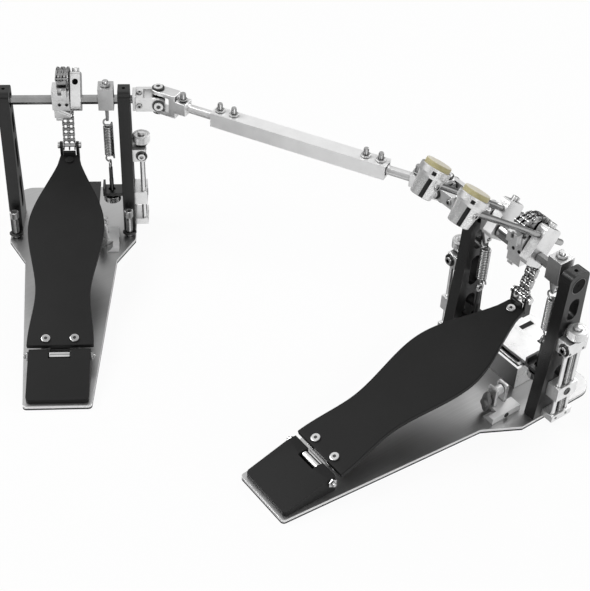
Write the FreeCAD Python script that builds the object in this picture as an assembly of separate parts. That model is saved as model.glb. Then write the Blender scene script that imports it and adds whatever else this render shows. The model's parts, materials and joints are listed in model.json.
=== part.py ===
import FreeCAD, Part
import math
import os
from FreeCAD import Vector

# Double bass drum pedal. Millimetres, +Z up, +Y towards the drum, +X to the player's right.
# The origin is on the floor under the middle of the main pedal's shaft.
# Each pedal is modelled in that frame, and the slave pedal is then set down beside the main one.

# Where the slave pedal stands
slave_offset_x = -476.3
slave_offset_y = -243.6
slave_yaw_degrees = 57.4

# Clearances
overrun = 3.0
running_clearance = 0.05
seat_clearance = 0.2
open_pivot_clearance = 0.8

# Base plate and rubber sole
sole_thickness = 1.8
plate_thickness = 3.2
hinge_reach = 251.5
heel_overhang = 58.5
heel_half_width = 34.8
heel_corner_radius = 4.0
waist_reach = 77.0
waist_half_width = 52.2
wing_reach = 38.4
plate_wing_half_width = 72.8
front_reach = 66.0
front_corner_radius = 20.0
plate_top = sole_thickness + plate_thickness
heel_reach = hinge_reach + heel_overhang

# Shaft line
shaft_height = 172.0
shaft_flats = 9.0
shaft_radius = shaft_flats / 2
pilot_radius = 3.0
pilot_length = 11.0
sleeve_radius = 9.0
sleeve_length = 16.0
sleeve_end = 15.0

# Posts, caps and bearings
post_gap = 118.0
post_thickness = 13.3
post_above_shaft = 14.5
post_corner = 7.0
post_top_half_depth = 12.8
post_waist_half_depth = 14.5
post_waist_below_shaft = 48.0
post_foot_heel = 23.5
post_foot_front = 20.0
cap_split_above_shaft = 6.0
bearing_radius = 8.5
bearing_race = 1.5
bearing_width = 7.0
slot_half_width = 6.5
slot_shares = ((0.79, 0.95), (0.49, 0.73), (0.14, 0.41))
cap_screw_radius = 2.0
cap_screw_depth = 4.0
post_inner = post_gap / 2
post_outer = post_inner + post_thickness
post_top = shaft_height + post_above_shaft

# Heel plate and its hinge
hinge_height = 19.6
hinge_pin_radius = 2.5
hinge_head_radius = 4.0
hinge_head_length = 1.3
barrel_radius = 4.6
barrel_half_width = 10.5
barrel_gap = 1.0
heel_plate_setback = 4.0
heel_plate_half_width = 32.0
heel_plate_lip = 5.0
heel_plate_nose = 5.0
heel_plate_top = 25.0
heel_plate_notch = 7.5
heel_plate_corner = 4.0
heel_plate_front = hinge_reach - heel_plate_nose

# Footboard: top face from the heel edge to the toe, with its half widths along the length
board_hinge_gap = 8.5
board_heel_height = 27.0
board_toe_reach = 5.0
toe_bolt_rise = 9.91
board_thickness = 6.0
board_heel_half_width = 34.7
board_waist_half_width = 29.2
board_waist_share = 0.265
board_ball_half_width = 41.8
board_ball_share = 0.62
board_neck_half_width = 13.5
board_neck_share = 0.945
board_toe_half_width = 10.6
neck_taper_share = 0.35
board_screw_spacing = 29.8
board_screw_setback = 8.0
board_screw_radius = 4.5
board_screw_height = 1.6
toe_screw_setback = 8.0
tongue_thickness = 4.0
tongue_half_width = 20.0
tongue_length = 18.0
board_heel_reach = hinge_reach - board_hinge_gap

# Chain: two strands of plates and rollers
chain_pitch = 6.35
strand_offset = 3.2
roller_radius = 1.65
link_pin_radius = 1.0
link_plate_thickness = 0.8
link_plate_half_height = 2.7
inner_plate_offset = 1.9
outer_plate_offset = 6.2
middle_plate_thickness = 1.0
pin_end = 6.9
hanging_links = 10
wrapped_links = 11

# Sprocket, set a little off the shaft's centre
sprocket_teeth = 32
sprocket_offset_y = -3.0
sprocket_offset_z = 3.0
tooth_height = 0.8
tooth_width = 2.4
roller_seat = 0.15
drum_drop = 3.4
drum_half_width = 6.4
sprocket_end_degrees = 7.0
sprocket_pitch_radius = chain_pitch / (2 * math.sin(math.pi / sprocket_teeth))

# Toe clevis
toe_pin_y = 10.0
toe_pin_radius = 2.0
toe_eye_radius = 5.9
toe_eye_clearance = 2.1
ear_inner = 7.6
ear_thickness = 3.0
ear_half_depth = 4.5
toe_nut_radius = 3.6
toe_nut_length = 2.6
clevis_base_thickness = 2.5

# Cam hub block on the shaft
hub_left = -12.7
hub_right = 6.4
hub_heel = -11.0
hub_front = 9.0
hub_below = 7.0
hub_above = 17.0
hub_clamp_depth = 10.0
hub_clamp_inset = 1.6
hub_foot_width = 7.0
hub_foot_height = 3.5
hub_screw_radius = 1.7
hub_screw_depth = 5.0
hub_screw_places = (-4.6, 3.2)
anchor_half_width = 7.0
anchor_centre = -3.0
anchor_depth = 7.0
anchor_low = 10.0
anchor_high = 22.0
anchor_slot_half_width = 2.0
anchor_slot_depth = 6.0

# Beater line: the rod passes beside the shaft and leans back towards the heel
beater_lean_degrees = 35.0
beater_rod_offset = 18.8
beater_rod_radius = 3.175
beater_rod_tail = 31.0
beater_hub_half_length = 13.0
beater_hub_below = 12.0
beater_hub_above = 30.0
beater_hub_width = 11.0
beater_hub_corner = 4.0
hub_set_screw_radius = 3.0
hub_set_screw_height = 4.0
main_beater_x = 13.2
left_beater_x = -38.0
head_reach = 140.5
head_low = 4.0
head_low_radius = 10.5
head_body_top = 26.0
head_body_radius = 13.0
head_flange_top = 32.5
head_flange_radius = 15.0
head_socket_depth = 22.0
head_slot_half_width = 2.2
head_slot_depth = 2.5
head_slot_end = 3.0
head_window_half = 2.3
head_window_offset = 6.0
face_radius = 13.5
face_thickness = 11.0
face_seat_depth = 2.5

# Spring arms and springs
arm_left = 37.5
arm_right = 54.5
left_arm_left = -53.5
left_arm_right = -44.5
arm_above = 18.0
arm_half_depth = 9.0
arm_below = 9.0
arm_tip = 26.0
arm_tip_half_depth = 4.0
arm_tongue_half_width = 1.5
arm_hole_reach = 22.5
arm_hole_radius = 2.2
arm_screw_radius = 3.2
arm_screw_height = 6.0
spring_x = 46.0
left_spring_x = -48.5
wire_radius = 0.8
coil_radius = 4.7
coil_turns = 18
coil_pitch = 2.15
coil_length = coil_turns * coil_pitch
hook_radius = 4.6
hook_rise = 2.3
hook_sweep_degrees = 280.0
straight_turn = 1e-6
eye_radius = 4.0
eye_wire_radius = 1.5
spring_rod_radius = 2.25
spring_rod_bottom = 30.0

# Spring tension adjusters outside the posts
bracket_low = 46.0
bracket_thickness = 4.0
bracket_half_depth = 9.0
bracket_reach = 10.0
bracket_wall = 2.5
bracket_wall_height = 7.0
bracket_rod_hole = 4.2
stem_half_depth = 4.5
nut_radius = 9.7
nut_length = 7.0
nut_dome_radius = 6.0
nut_above_pivot = 1.0
block_width = 15.0
block_half_depth = 13.5
block_low = 37.0
block_high = 54.0
block_hole_radius = 4.0
block_hole_depth = 5.0
tension_screw_out = 10.5
tension_screw_radius = 3.0
guide_spacing = 18.0
guide_radius = 2.2
support_foot_low = 8.0
support_foot_high = 16.0
support_head_low = 97.0
support_head_high = 113.0
support_bolt_radius = 4.0
support_bolt_length = 3.0
knob_radius = 9.8
knob_height = 10.0
knob_collar_radius = 7.0
knob_collar_height = 3.0
knob_hex_flats = 8.0
knob_hex_height = 3.0

# Hoop clamp
tower_half_width = 28.0
tower_wall = 3.0
tower_heel = -8.0
tower_front = 22.0
tower_top = 33.0
cap_front = 33.0
jaw_half_width = 31.0
jaw_thickness = 4.0
jaw_front = 60.0
jaw_lip_depth = 8.0
jaw_lip_low = 22.0
jaw_pad_thickness = 2.0
jaw_pivot_y = 2.0
jaw_pivot_drop = 6.0
jaw_pin_radius = 2.5
jaw_ear_thickness = 4.0
jaw_ear_half_depth = 5.0
jaw_slot_length = 17.0
jaw_slot_width = 5.5
jaw_slot_spacing = 27.0
jaw_slot_depth = 1.2
clamp_gap = 0.5
jaw_pivot_height = tower_top - jaw_pivot_drop

# Side block of the hoop clamp, with its roller and wing bolt
side_block_left = 40.0
side_block_right = 54.0
side_block_heel = -63.0
side_block_front = -25.0
side_block_height = 8.0
side_hole_radius = 2.0
side_hole_depth = 4.0
fork_left = 29.0
fork_heel = -50.0
fork_front = -33.0
fork_ear_thickness = 3.5
fork_ear_half_width = 6.0
roller_height = 28.0
fork_roller_radius = 4.5
fork_pin_radius = 2.0
wing_bolt_height = 19.5
wing_bolt_radius = 2.6
wing_hub_radius = 4.5
wing_hub_length = 8.0
wing_hub_gap = 2.0
wing_half_width = 4.6
wing_half_height = 13.0
wing_thickness = 3.2
wing_swing_clearance = 0.8

# Floor spurs of the slave pedal
spur_setback = 31.0
spur_flange_radius = 6.0
spur_flange_height = 2.0
spur_radius = 3.6
spur_height = 20.0
spur_head_radius = 4.8
spur_head_height = 8.0
spur_point_length = 4.0
spur_tip_share = 0.25

# Universal joints and driveshaft
slave_yoke_hub_length = 3.7
main_yoke_hub_length = 15.7
cross_half = 7.0
cross_screw_radius = 3.0
cross_head_radius = 5.0
cross_head_length = 2.5
yoke_ear_inner = 9.0
yoke_ear_thickness = 5.0
yoke_ear_radius = 7.5
yoke_bridge_near = 17.0
yoke_bridge_far = 25.0
yoke_half_width = 7.5
yoke_hub_half = 9.5
yoke_post_gap = 3.0
yoke_start = post_outer + yoke_post_gap
slave_cross_reach = yoke_start + slave_yoke_hub_length + yoke_bridge_far
main_cross_reach = yoke_start + main_yoke_hub_length + yoke_bridge_far
drive_neck_half = 7.5
drive_neck_length = 13.0
drive_rod_flats = 9.0
drive_rod_insert = 45.0
drive_sleeve_half = 8.5
drive_sleeve_bore = 5.6
slave_rod_show = 70.0
main_rod_show = 65.5
sleeve_screw_places = (8.0, 25.0)
sleeve_screw_radius = 2.5
sleeve_screw_head_half = 2.6
sleeve_screw_head_height = 6.5
sleeve_nut_flats = 8.5
sleeve_nut_height = 4.0
sleeve_screw_tip = 1.0
neck_screw_radius = 3.0
neck_screw_height = 7.0

# Directions and points worked out from the sizes above
along_x = Vector(1, 0, 0)
along_y = Vector(0, 1, 0)
along_z = Vector(0, 0, 1)
sprocket_y = sprocket_offset_y
sprocket_z = shaft_height + sprocket_offset_z
hanging_length = hanging_links * chain_pitch
toe_pin_height = sprocket_z - math.sqrt(
    hanging_length ** 2 + sprocket_pitch_radius ** 2 - (toe_pin_y - sprocket_y) ** 2
)
board_toe_height = toe_pin_height - toe_bolt_rise
toe_direction = math.atan2(toe_pin_height - sprocket_z, toe_pin_y - sprocket_y)
tangent_angle = toe_direction + math.atan2(hanging_length, sprocket_pitch_radius)
tooth_angle = 2 * math.pi / sprocket_teeth
board_length = math.hypot(board_heel_reach + board_toe_reach, board_toe_height - board_heel_height)
board_slope = math.atan2(board_toe_height - board_heel_height, board_heel_reach + board_toe_reach)
beater_lean = math.radians(beater_lean_degrees)
beater_along = Vector(0, -math.cos(beater_lean), math.sin(beater_lean))
beater_across = Vector(0, beater_along.z, -beater_along.y)
arm_hole_height = shaft_height - arm_hole_reach
hook_dip = hook_radius - math.sqrt(hook_radius ** 2 - arm_tongue_half_width ** 2)
hook_top_height = arm_hole_height - arm_hole_radius + wire_radius + hook_dip + seat_clearance
coil_top = hook_top_height - 2 * hook_radius - hook_rise
coil_bottom = coil_top - coil_length
hook_bottom_height = coil_bottom - hook_rise - 2 * hook_radius
eye_height = hook_bottom_height + wire_radius - eye_radius + eye_wire_radius + seat_clearance
rod_pivot_height = bracket_low - seat_clearance - math.sqrt(nut_dome_radius ** 2 - bracket_rod_hole ** 2)
slave_placement = FreeCAD.Placement(
    Vector(slave_offset_x, slave_offset_y, 0),
    FreeCAD.Rotation(along_z, slave_yaw_degrees),
)
slave_cross = slave_placement.multVec(Vector(slave_cross_reach, 0, shaft_height))
main_cross = Vector(-main_cross_reach, 0, shaft_height)
drive_length = slave_cross.distanceToPoint(main_cross)
drive_yaw_degrees = math.degrees(math.atan2(main_cross.y - slave_cross.y, main_cross.x - slave_cross.x))
drive_placement = FreeCAD.Placement(slave_cross, FreeCAD.Rotation(along_z, drive_yaw_degrees))


# Simple solids
def box(x0, x1, y0, y1, z0, z1):
    return Part.makeBox(x1 - x0, y1 - y0, z1 - z0, Vector(x0, y0, z0))


def round_x(radius, x0, x1, y=0, z=shaft_height):
    return Part.makeCylinder(radius, x1 - x0, Vector(x0, y, z), along_x)


def round_y(radius, y0, y1, x, z):
    return Part.makeCylinder(radius, y1 - y0, Vector(x, y0, z), along_y)


def round_z(radius, z0, z1, x, y):
    return Part.makeCylinder(radius, z1 - z0, Vector(x, y, z0), along_z)


def prism(points, thickness):
    wire = Part.makePolygon(points + points[:1])
    return Part.Face(wire).extrude(thickness)


def side_prism(outline, x0, x1):
    """A prism along X from an outline of (y, z) points."""
    return prism([Vector(x0, y, z) for y, z in outline], Vector(x1 - x0, 0, 0))


def prism_between(corners, x0, x1):
    return side_prism([(corner.y, corner.z) for corner in corners], x0, x1)


def hexagon_x(flats, x0, x1, y=0, z=shaft_height):
    corner = flats / math.sqrt(3)
    angles = [math.pi / 3 * step for step in range(6)]
    return side_prism([(y + corner * math.cos(a), z + corner * math.sin(a)) for a in angles], x0, x1)


def hexagon_z(flats, z0, z1, x, y):
    corner = flats / math.sqrt(3)
    angles = [math.pi / 3 * step for step in range(6)]
    points = [Vector(x + corner * math.cos(a), y + corner * math.sin(a), z0) for a in angles]
    return prism(points, Vector(0, 0, z1 - z0))


def fuse(solids):
    return solids[0].multiFuse(solids[1:]).removeSplitter()


def mirrored_x(solid):
    return solid.mirror(Vector(0, 0, 0), along_x)


def on_slave(solids):
    placed = []
    for solid in solids:
        copy = solid.copy()
        copy.Placement = slave_placement.multiply(copy.Placement)
        placed.append(copy)
    return placed


def on_drive(solids):
    placed = []
    for solid in solids:
        copy = solid.copy()
        copy.Placement = drive_placement.multiply(copy.Placement)
        placed.append(copy)
    return placed


def save(name, solids):
    shape = Part.makeCompound(solids)
    for solid in shape.Solids:
        if not solid.isValid():
            print("not valid:", name)
    shape.exportStep("parts/" + name + ".step")


# Base
def base_outline(z0, thickness):
    half = [
        (heel_half_width, -heel_reach),
        (waist_half_width, -waist_reach),
        (plate_wing_half_width, -wing_reach),
        (plate_wing_half_width, front_reach),
    ]
    points = [Vector(x, y, z0) for x, y in half]
    points += [Vector(-x, y, z0) for x, y in reversed(half)]
    solid = prism(points, Vector(0, 0, thickness))

    def upright_edges(body, y):
        return [e for e in body.Edges if abs(e.BoundBox.ZLength - thickness) < thickness / 2
                and abs(e.BoundBox.YMin - y) < thickness]

    solid = solid.makeFillet(front_corner_radius, upright_edges(solid, front_reach))
    return solid.makeFillet(heel_corner_radius, upright_edges(solid, -heel_reach))


def spur_places():
    x = (post_inner + post_outer) / 2
    return [(x, -spur_setback), (-x, -spur_setback)]


def base_plate(spur_holes):
    plate = base_outline(sole_thickness, plate_thickness)
    for x, y in spur_holes:
        plate = plate.cut(round_z(spur_radius + seat_clearance, 0, plate_top + overrun, x, y))
    return plate


def sole(spur_holes):
    rubber = base_outline(0, sole_thickness)
    for x, y in spur_holes:
        rubber = rubber.cut(round_z(spur_radius + seat_clearance, -overrun, plate_top, x, y))
    return rubber


def floor_spurs():
    spurs = []
    for x, y in spur_places():
        point = Part.makeCone(spur_radius * spur_tip_share, spur_radius, spur_point_length,
                              Vector(x, y, seat_clearance))
        flange_top = plate_top + spur_flange_height
        head_low_end = plate_top + spur_height
        pieces = [
            point,
            round_z(spur_radius, seat_clearance + spur_point_length, head_low_end, x, y),
            round_z(spur_flange_radius, plate_top, flange_top, x, y),
            round_z(spur_head_radius, head_low_end, head_low_end + spur_head_height, x, y),
        ]
        spurs.append(fuse(pieces))
    return spurs


# Posts
def post_outline():
    waist = shaft_height - post_waist_below_shaft
    return [
        (-post_foot_heel, plate_top),
        (-post_waist_half_depth, waist),
        (-post_top_half_depth, post_top),
        (post_top_half_depth, post_top),
        (post_waist_half_depth, waist),
        (post_foot_front, plate_top),
    ]


def slot_heights():
    height = shaft_height - bearing_radius - plate_top
    return [(plate_top + low * height, plate_top + high * height) for low, high in slot_shares]


def post_slots():
    slots = []
    for low, high in slot_heights():
        x0 = post_inner - overrun
        x1 = post_outer + overrun
        low_round = low + slot_half_width
        high_round = high - slot_half_width
        slots.append(fuse([
            box(x0, x1, -slot_half_width, slot_half_width, low_round, high_round),
            round_x(slot_half_width, x0, x1, 0, low_round),
            round_x(slot_half_width, x0, x1, 0, high_round),
        ]))
    return slots


def whole_post():
    post = side_prism(post_outline(), post_inner, post_outer)
    top_edges = [e for e in post.Edges if e.BoundBox.XLength > post_thickness / 2
                 and e.BoundBox.ZMin > post_top - post_corner]
    post = post.makeFillet(post_corner, top_edges)
    return post.cut(round_x(bearing_radius, post_inner - overrun, post_outer + overrun))


def above_split():
    split = shaft_height + cap_split_above_shaft
    return box(post_inner - overrun, post_outer + overrun, -heel_reach, front_reach,
               split, post_top + overrun)


def post():
    solid = whole_post().cut(above_split())
    return solid.cut(Part.makeCompound(post_slots()))


def bearing_cap():
    cap = whole_post().common(above_split())
    x = (post_inner + post_outer) / 2
    return cap.cut(round_z(cap_screw_radius, post_top - cap_screw_depth, post_top + overrun, x, 0)).Solids[0]


def bearing():
    x0 = post_outer - bearing_width - seat_clearance
    x1 = post_outer - seat_clearance
    bore = shaft_radius + running_clearance
    seal_out = bearing_radius - bearing_race
    seal_in = bore + bearing_race

    def ring(outer, inner):
        return round_x(outer, x0, x1).cut(round_x(inner, x0 - overrun, x1 + overrun))

    return [ring(bearing_radius, seal_out), ring(seal_out, seal_in), ring(seal_in, bore)]


# Heel plate, hinge and footboard
def heel_plate():
    back = -(heel_reach - heel_plate_setback)
    front = -heel_plate_front
    outline = [
        (back, plate_top),
        (back, plate_top + heel_plate_lip),
        (-hinge_reach - barrel_radius, heel_plate_top),
        (front, heel_plate_top),
        (front, plate_top),
    ]
    plate = side_prism(outline, -heel_plate_half_width, heel_plate_half_width)
    corners = [e for e in plate.Edges if e.BoundBox.XLength < heel_plate_lip / 2
               and e.BoundBox.YLength < heel_plate_lip / 2 and e.BoundBox.YMin < back + heel_plate_lip]
    plate = plate.makeFillet(heel_plate_corner, corners)
    notch = barrel_half_width + barrel_gap
    notch_back = -hinge_reach - heel_plate_notch
    plate = plate.cut(box(-notch, notch, notch_back, front + overrun, plate_top, heel_plate_top + overrun))
    pin_hole = round_x(hinge_pin_radius, -heel_half_width, heel_half_width, -hinge_reach, hinge_height)
    return plate.cut(pin_hole)


def hinge_pin():
    half = heel_plate_half_width
    pin = round_x(hinge_pin_radius, -half, half, -hinge_reach, hinge_height)
    head = round_x(hinge_head_radius, half, half + hinge_head_length, -hinge_reach, hinge_height)
    return fuse([pin, head, mirrored_x(head)])


def board_frame(solid):
    """Sets a piece drawn flat, with its heel edge at zero, on the footboard's slope."""
    copy = solid.copy()
    copy.Placement = FreeCAD.Placement(
        Vector(0, -board_heel_reach, board_heel_height),
        FreeCAD.Rotation(along_x, math.degrees(board_slope)),
    )
    return copy


def footboard():
    stations = [
        (board_heel_half_width, 0),
        (board_waist_half_width, board_waist_share),
        (board_ball_half_width, board_ball_share),
        (board_neck_half_width, board_neck_share),
    ]
    right = [Vector(x, share * board_length, -board_thickness) for x, share in stations]
    curve = Part.BSplineCurve()
    curve.interpolate(right, InitialTangent=Vector(0, 1, 0), FinalTangent=Vector(-neck_taper_share, 1, 0))
    toe = Vector(board_toe_half_width, board_length, -board_thickness)
    edges = [
        Part.makeLine(Vector(-right[0].x, right[0].y, right[0].z), right[0]),
        curve.toShape(),
        Part.makeLine(right[-1], toe),
        Part.makeLine(toe, Vector(-toe.x, toe.y, toe.z)),
        Part.makeLine(Vector(-toe.x, toe.y, toe.z), Vector(-right[-1].x, right[-1].y, right[-1].z)),
        curve.toShape().mirror(Vector(0, 0, 0), along_x),
    ]
    wire = Part.Wire(Part.__sortEdges__(edges))
    return board_frame(Part.Face(wire).extrude(Vector(0, 0, board_thickness)))


def hinge_tongue():
    """The plate under the heel of the footboard with the barrel that turns on the hinge pin."""
    plate = board_frame(box(-tongue_half_width, tongue_half_width, 0, tongue_length,
                            -board_thickness - tongue_thickness, -board_thickness))
    y = -hinge_reach
    barrel = round_x(barrel_radius, -barrel_half_width, barrel_half_width, y, hinge_height)
    low = hinge_height - barrel_radius
    reach = -board_heel_reach + tongue_length / 2
    high = hinge_height + tongue_thickness / 2
    neck = box(-barrel_half_width, barrel_half_width, y, reach, low, high)
    board = board_frame(box(-board_heel_half_width, board_heel_half_width, -overrun, board_length,
                            -board_thickness, overrun))
    bore = round_x(hinge_pin_radius + running_clearance, -heel_half_width, heel_half_width, y, hinge_height)
    return fuse([plate, barrel, neck]).cut(board).cut(bore)


def heel_screws():
    return [board_frame(round_z(board_screw_radius, 0, board_screw_height, side * board_screw_spacing / 2,
                                board_screw_setback)) for side in (-1, 1)]


def toe_clevis():
    """A stirrup under the toe, with two ears that carry the chain's bolt."""
    ear_outer = ear_inner + ear_thickness
    base_low = board_toe_height - board_thickness - clevis_base_thickness
    outline_low = [
        (toe_pin_y - ear_half_depth, base_low),
        (toe_pin_y + ear_half_depth, base_low),
        (toe_pin_y + ear_half_depth, toe_pin_height),
        (toe_pin_y - ear_half_depth, toe_pin_height),
    ]
    ear = fuse([side_prism(outline_low, ear_inner, ear_outer),
                round_x(ear_half_depth, ear_inner, ear_outer, toe_pin_y, toe_pin_height)])
    bridge = box(-ear_outer, ear_outer, toe_pin_y - ear_half_depth, toe_pin_y + ear_half_depth,
                 base_low - clevis_base_thickness, base_low)
    seat = board_frame(box(-board_toe_half_width, board_toe_half_width, board_length - 2 * toe_screw_setback,
                           board_length, -board_thickness - clevis_base_thickness, -board_thickness))
    board = board_frame(box(-board_ball_half_width, board_ball_half_width, 0, board_length,
                            -board_thickness, overrun))
    body = fuse([ear, mirrored_x(ear), bridge, seat]).cut(board)
    bolt_end = ear_outer + toe_nut_length
    bolt_hole = round_x(toe_pin_radius, -bolt_end, bolt_end, toe_pin_y, toe_pin_height)
    nut = round_x(toe_nut_radius, ear_outer, bolt_end, toe_pin_y, toe_pin_height)
    bolt = fuse([bolt_hole, nut, mirrored_x(nut)])
    screw_place = board_length - toe_screw_setback
    screw = board_frame(round_z(board_screw_radius, 0, board_screw_height, 0, screw_place))
    return [body.cut(bolt_hole), bolt, screw]


# Chain
def wrapped_point(step):
    angle = tangent_angle + step * tooth_angle
    return (sprocket_y + sprocket_pitch_radius * math.cos(angle),
            sprocket_z + sprocket_pitch_radius * math.sin(angle))


def hanging_point(step):
    y, z = wrapped_point(0)
    share = step / hanging_links
    return (y + (toe_pin_y - y) * share, z + (toe_pin_height - z) * share)


def link_plate(start, end, centre, thickness, end_radius):
    x0 = centre - thickness / 2
    x1 = centre + thickness / 2
    dy = end[0] - start[0]
    dz = end[1] - start[1]
    length = math.hypot(dy, dz)
    ny = -dz / length * link_plate_half_height
    nz = dy / length * link_plate_half_height
    outline = [(start[0] + ny, start[1] + nz), (end[0] + ny, end[1] + nz),
               (end[0] - ny, end[1] - nz), (start[0] - ny, start[1] - nz)]
    return fuse([
        side_prism(outline, x0, x1),
        round_x(link_plate_half_height, x0, x1, start[0], start[1]),
        round_x(end_radius, x0, x1, end[0], end[1]),
    ])


def inner_link(start, end):
    """The two strands of an inner link: two plates joined by two bushed rollers."""
    strands = []
    for side in (-1, 1):
        centre = side * strand_offset
        x0 = centre - inner_plate_offset
        x1 = centre + inner_plate_offset
        pieces = [
            link_plate(start, end, x0, link_plate_thickness, link_plate_half_height),
            link_plate(start, end, x1, link_plate_thickness, link_plate_half_height),
            round_x(roller_radius, x0, x1, start[0], start[1]),
            round_x(roller_radius, x0, x1, end[0], end[1]),
        ]
        hole = link_pin_radius + running_clearance
        strand = fuse(pieces)
        for y, z in (start, end):
            strand = strand.cut(round_x(hole, -2 * pin_end, 2 * pin_end, y, z))
        strands.append(strand)
    return strands


def outer_link(start, end, last):
    """Three plates and two pins. The last link ends in an eye round the toe bolt."""
    end_radius = toe_eye_radius if last else link_plate_half_height
    pieces = [
        link_plate(start, end, -outer_plate_offset, link_plate_thickness, end_radius),
        link_plate(start, end, 0, middle_plate_thickness, end_radius),
        link_plate(start, end, outer_plate_offset, link_plate_thickness, end_radius),
        round_x(link_pin_radius, -pin_end, pin_end, start[0], start[1]),
    ]
    if not last:
        pieces.append(round_x(link_pin_radius, -pin_end, pin_end, end[0], end[1]))
        return fuse(pieces)
    eye = toe_pin_radius + toe_eye_clearance
    return fuse(pieces).cut(round_x(eye, -2 * pin_end, 2 * pin_end, end[0], end[1]))


def chain(points, first_is_inner, ends_in_eye):
    links = []
    count = len(points) - 1
    for index in range(count):
        start = points[index]
        end = points[index + 1]
        if (index % 2 == 0) == first_is_inner:
            links += inner_link(start, end)
        else:
            links.append(outer_link(start, end, ends_in_eye and index == count - 1))
    return links


def wrapped_chain():
    return chain([wrapped_point(step) for step in range(wrapped_links + 1)], False, False)


def hanging_chain():
    return chain([hanging_point(step) for step in range(hanging_links + 1)], True, True)


# Shaft pieces
def hub_box(x0, x1):
    return box(x0, x1, hub_heel, hub_front, shaft_height - hub_below, shaft_height + hub_above)


def shaft_bore():
    return hexagon_x(shaft_flats + 2 * running_clearance, -post_outer, post_outer)


def sprocket():
    outer = sprocket_pitch_radius + tooth_height
    drum = sprocket_pitch_radius - drum_drop
    pieces = [round_x(drum, -drum_half_width, drum_half_width, sprocket_y, sprocket_z)]
    for side in (-1, 1):
        x = side * strand_offset
        pieces.append(round_x(outer, x - tooth_width / 2, x + tooth_width / 2, sprocket_y, sprocket_z))
    wheel = fuse(pieces)
    seats = []
    for step in range(wrapped_links + 1):
        y, z = wrapped_point(step)
        seats.append(round_x(roller_radius + roller_seat, -pin_end, pin_end, y, z))
    far = 2 * outer
    first = tangent_angle - math.radians(sprocket_end_degrees)
    last = tangent_angle + wrapped_links * tooth_angle
    spread = [first + (last - first) * share for share in (0, 1 / 2, 1)]
    sector = [(sprocket_y, sprocket_z)]
    sector += [(sprocket_y + far * math.cos(a), sprocket_z + far * math.sin(a)) for a in spread]
    wheel = wheel.common(side_prism(sector, -pin_end, pin_end))
    wheel = wheel.cut(Part.makeCompound(seats))
    wheel = wheel.cut(hub_box(hub_left, drum_half_width + overrun))
    return max(wheel.Solids, key=lambda solid: solid.Volume)


def cam_hub():
    bore = shaft_bore()
    block = hub_box(hub_left, hub_right).cut(bore)
    for x in hub_screw_places:
        hole = round_y(hub_screw_radius, hub_heel - overrun, hub_heel + hub_screw_depth, x, shaft_height)
        block = block.cut(hole)
    clamp_top = shaft_height - hub_below
    clamp_low = clamp_top - hub_clamp_depth
    clamp = box(hub_left + hub_clamp_inset, hub_right, hub_heel, hub_front, clamp_low, clamp_top)
    foot_left = hub_left + 2 * hub_clamp_inset
    foot = box(foot_left, foot_left + hub_foot_width, hub_heel, 0, clamp_low - hub_foot_height, clamp_low)
    anchor = box(anchor_centre - anchor_half_width, anchor_centre + anchor_half_width,
                 hub_heel - anchor_depth, hub_heel, shaft_height + anchor_low, shaft_height + anchor_high)
    slot = box(anchor_centre - anchor_slot_half_width, anchor_centre + anchor_slot_half_width,
               hub_heel - anchor_depth - overrun, hub_heel - anchor_depth / 2,
               shaft_height + anchor_high - anchor_slot_depth, shaft_height + anchor_high + overrun)
    return [block, clamp.cut(bore), foot, anchor.cut(slot)]


def beater_point(along, across):
    return Vector(0, 0, shaft_height) + beater_along * along + beater_across * across


def beater_hub(x):
    half = beater_hub_width / 2
    corners = [
        beater_point(-beater_hub_half_length, -beater_hub_below),
        beater_point(beater_hub_half_length, -beater_hub_below),
        beater_point(beater_hub_half_length, beater_hub_above),
        beater_point(-beater_hub_half_length, beater_hub_above),
    ]
    block = prism_between(corners, x - half, x + half)
    long_edges = [e for e in block.Edges if e.BoundBox.XLength > half]
    block = block.makeFillet(beater_hub_corner, long_edges)
    tail = beater_point(-beater_rod_tail, beater_rod_offset) + along_x * x
    hole_radius = beater_rod_radius + running_clearance
    rod_hole = Part.makeCylinder(hole_radius, 2 * beater_rod_tail, tail, beater_along)
    screw_seat = beater_point(0, beater_hub_above) + along_x * x
    screw = Part.makeCylinder(hub_set_screw_radius, hub_set_screw_height, screw_seat, beater_across)
    return [block.cut(rod_hole).cut(shaft_bore()), screw]


def spring_arm(left, right, hook_x):
    tip = shaft_height - arm_tip
    low = shaft_height - arm_below
    body = box(left, right, -arm_half_depth, arm_half_depth, low, shaft_height + arm_above)
    outline = [(-arm_half_depth, low), (-arm_tip_half_depth, tip),
               (arm_tip_half_depth, tip), (arm_half_depth, low)]
    tongue = side_prism(outline, hook_x - arm_tongue_half_width, hook_x + arm_tongue_half_width)
    hole = round_x(arm_hole_radius, left - overrun, right + overrun, 0, arm_hole_height)
    arm = fuse([body, tongue]).cut(hole).cut(shaft_bore())
    top = shaft_height + arm_above
    screw = round_z(arm_screw_radius, top, top + arm_screw_height, (left + right) / 2, 0)
    return [arm, screw]


def main_shaft():
    left_end = -sleeve_end + seat_clearance
    hexagon = hexagon_x(shaft_flats, left_end, post_inner - seat_clearance)
    journal = round_x(shaft_radius, post_inner - 2 * seat_clearance, post_outer)
    pilot = round_x(pilot_radius, left_end - pilot_length, left_end + seat_clearance)
    return fuse([hexagon, journal, pilot])


def left_shaft():
    yoke_seat = main_cross_reach - yoke_bridge_far
    hexagon = hexagon_x(shaft_flats, -post_inner + seat_clearance, -sleeve_end - sleeve_length)
    journal = round_x(shaft_radius, -yoke_seat, -post_inner + 2 * seat_clearance)
    sleeve = round_x(sleeve_radius, -sleeve_end - sleeve_length, -sleeve_end)
    bore_depth = pilot_length + seat_clearance
    bore = round_x(pilot_radius + running_clearance, -sleeve_end - bore_depth, -sleeve_end + overrun)
    return fuse([hexagon, journal, sleeve]).cut(bore)


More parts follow.
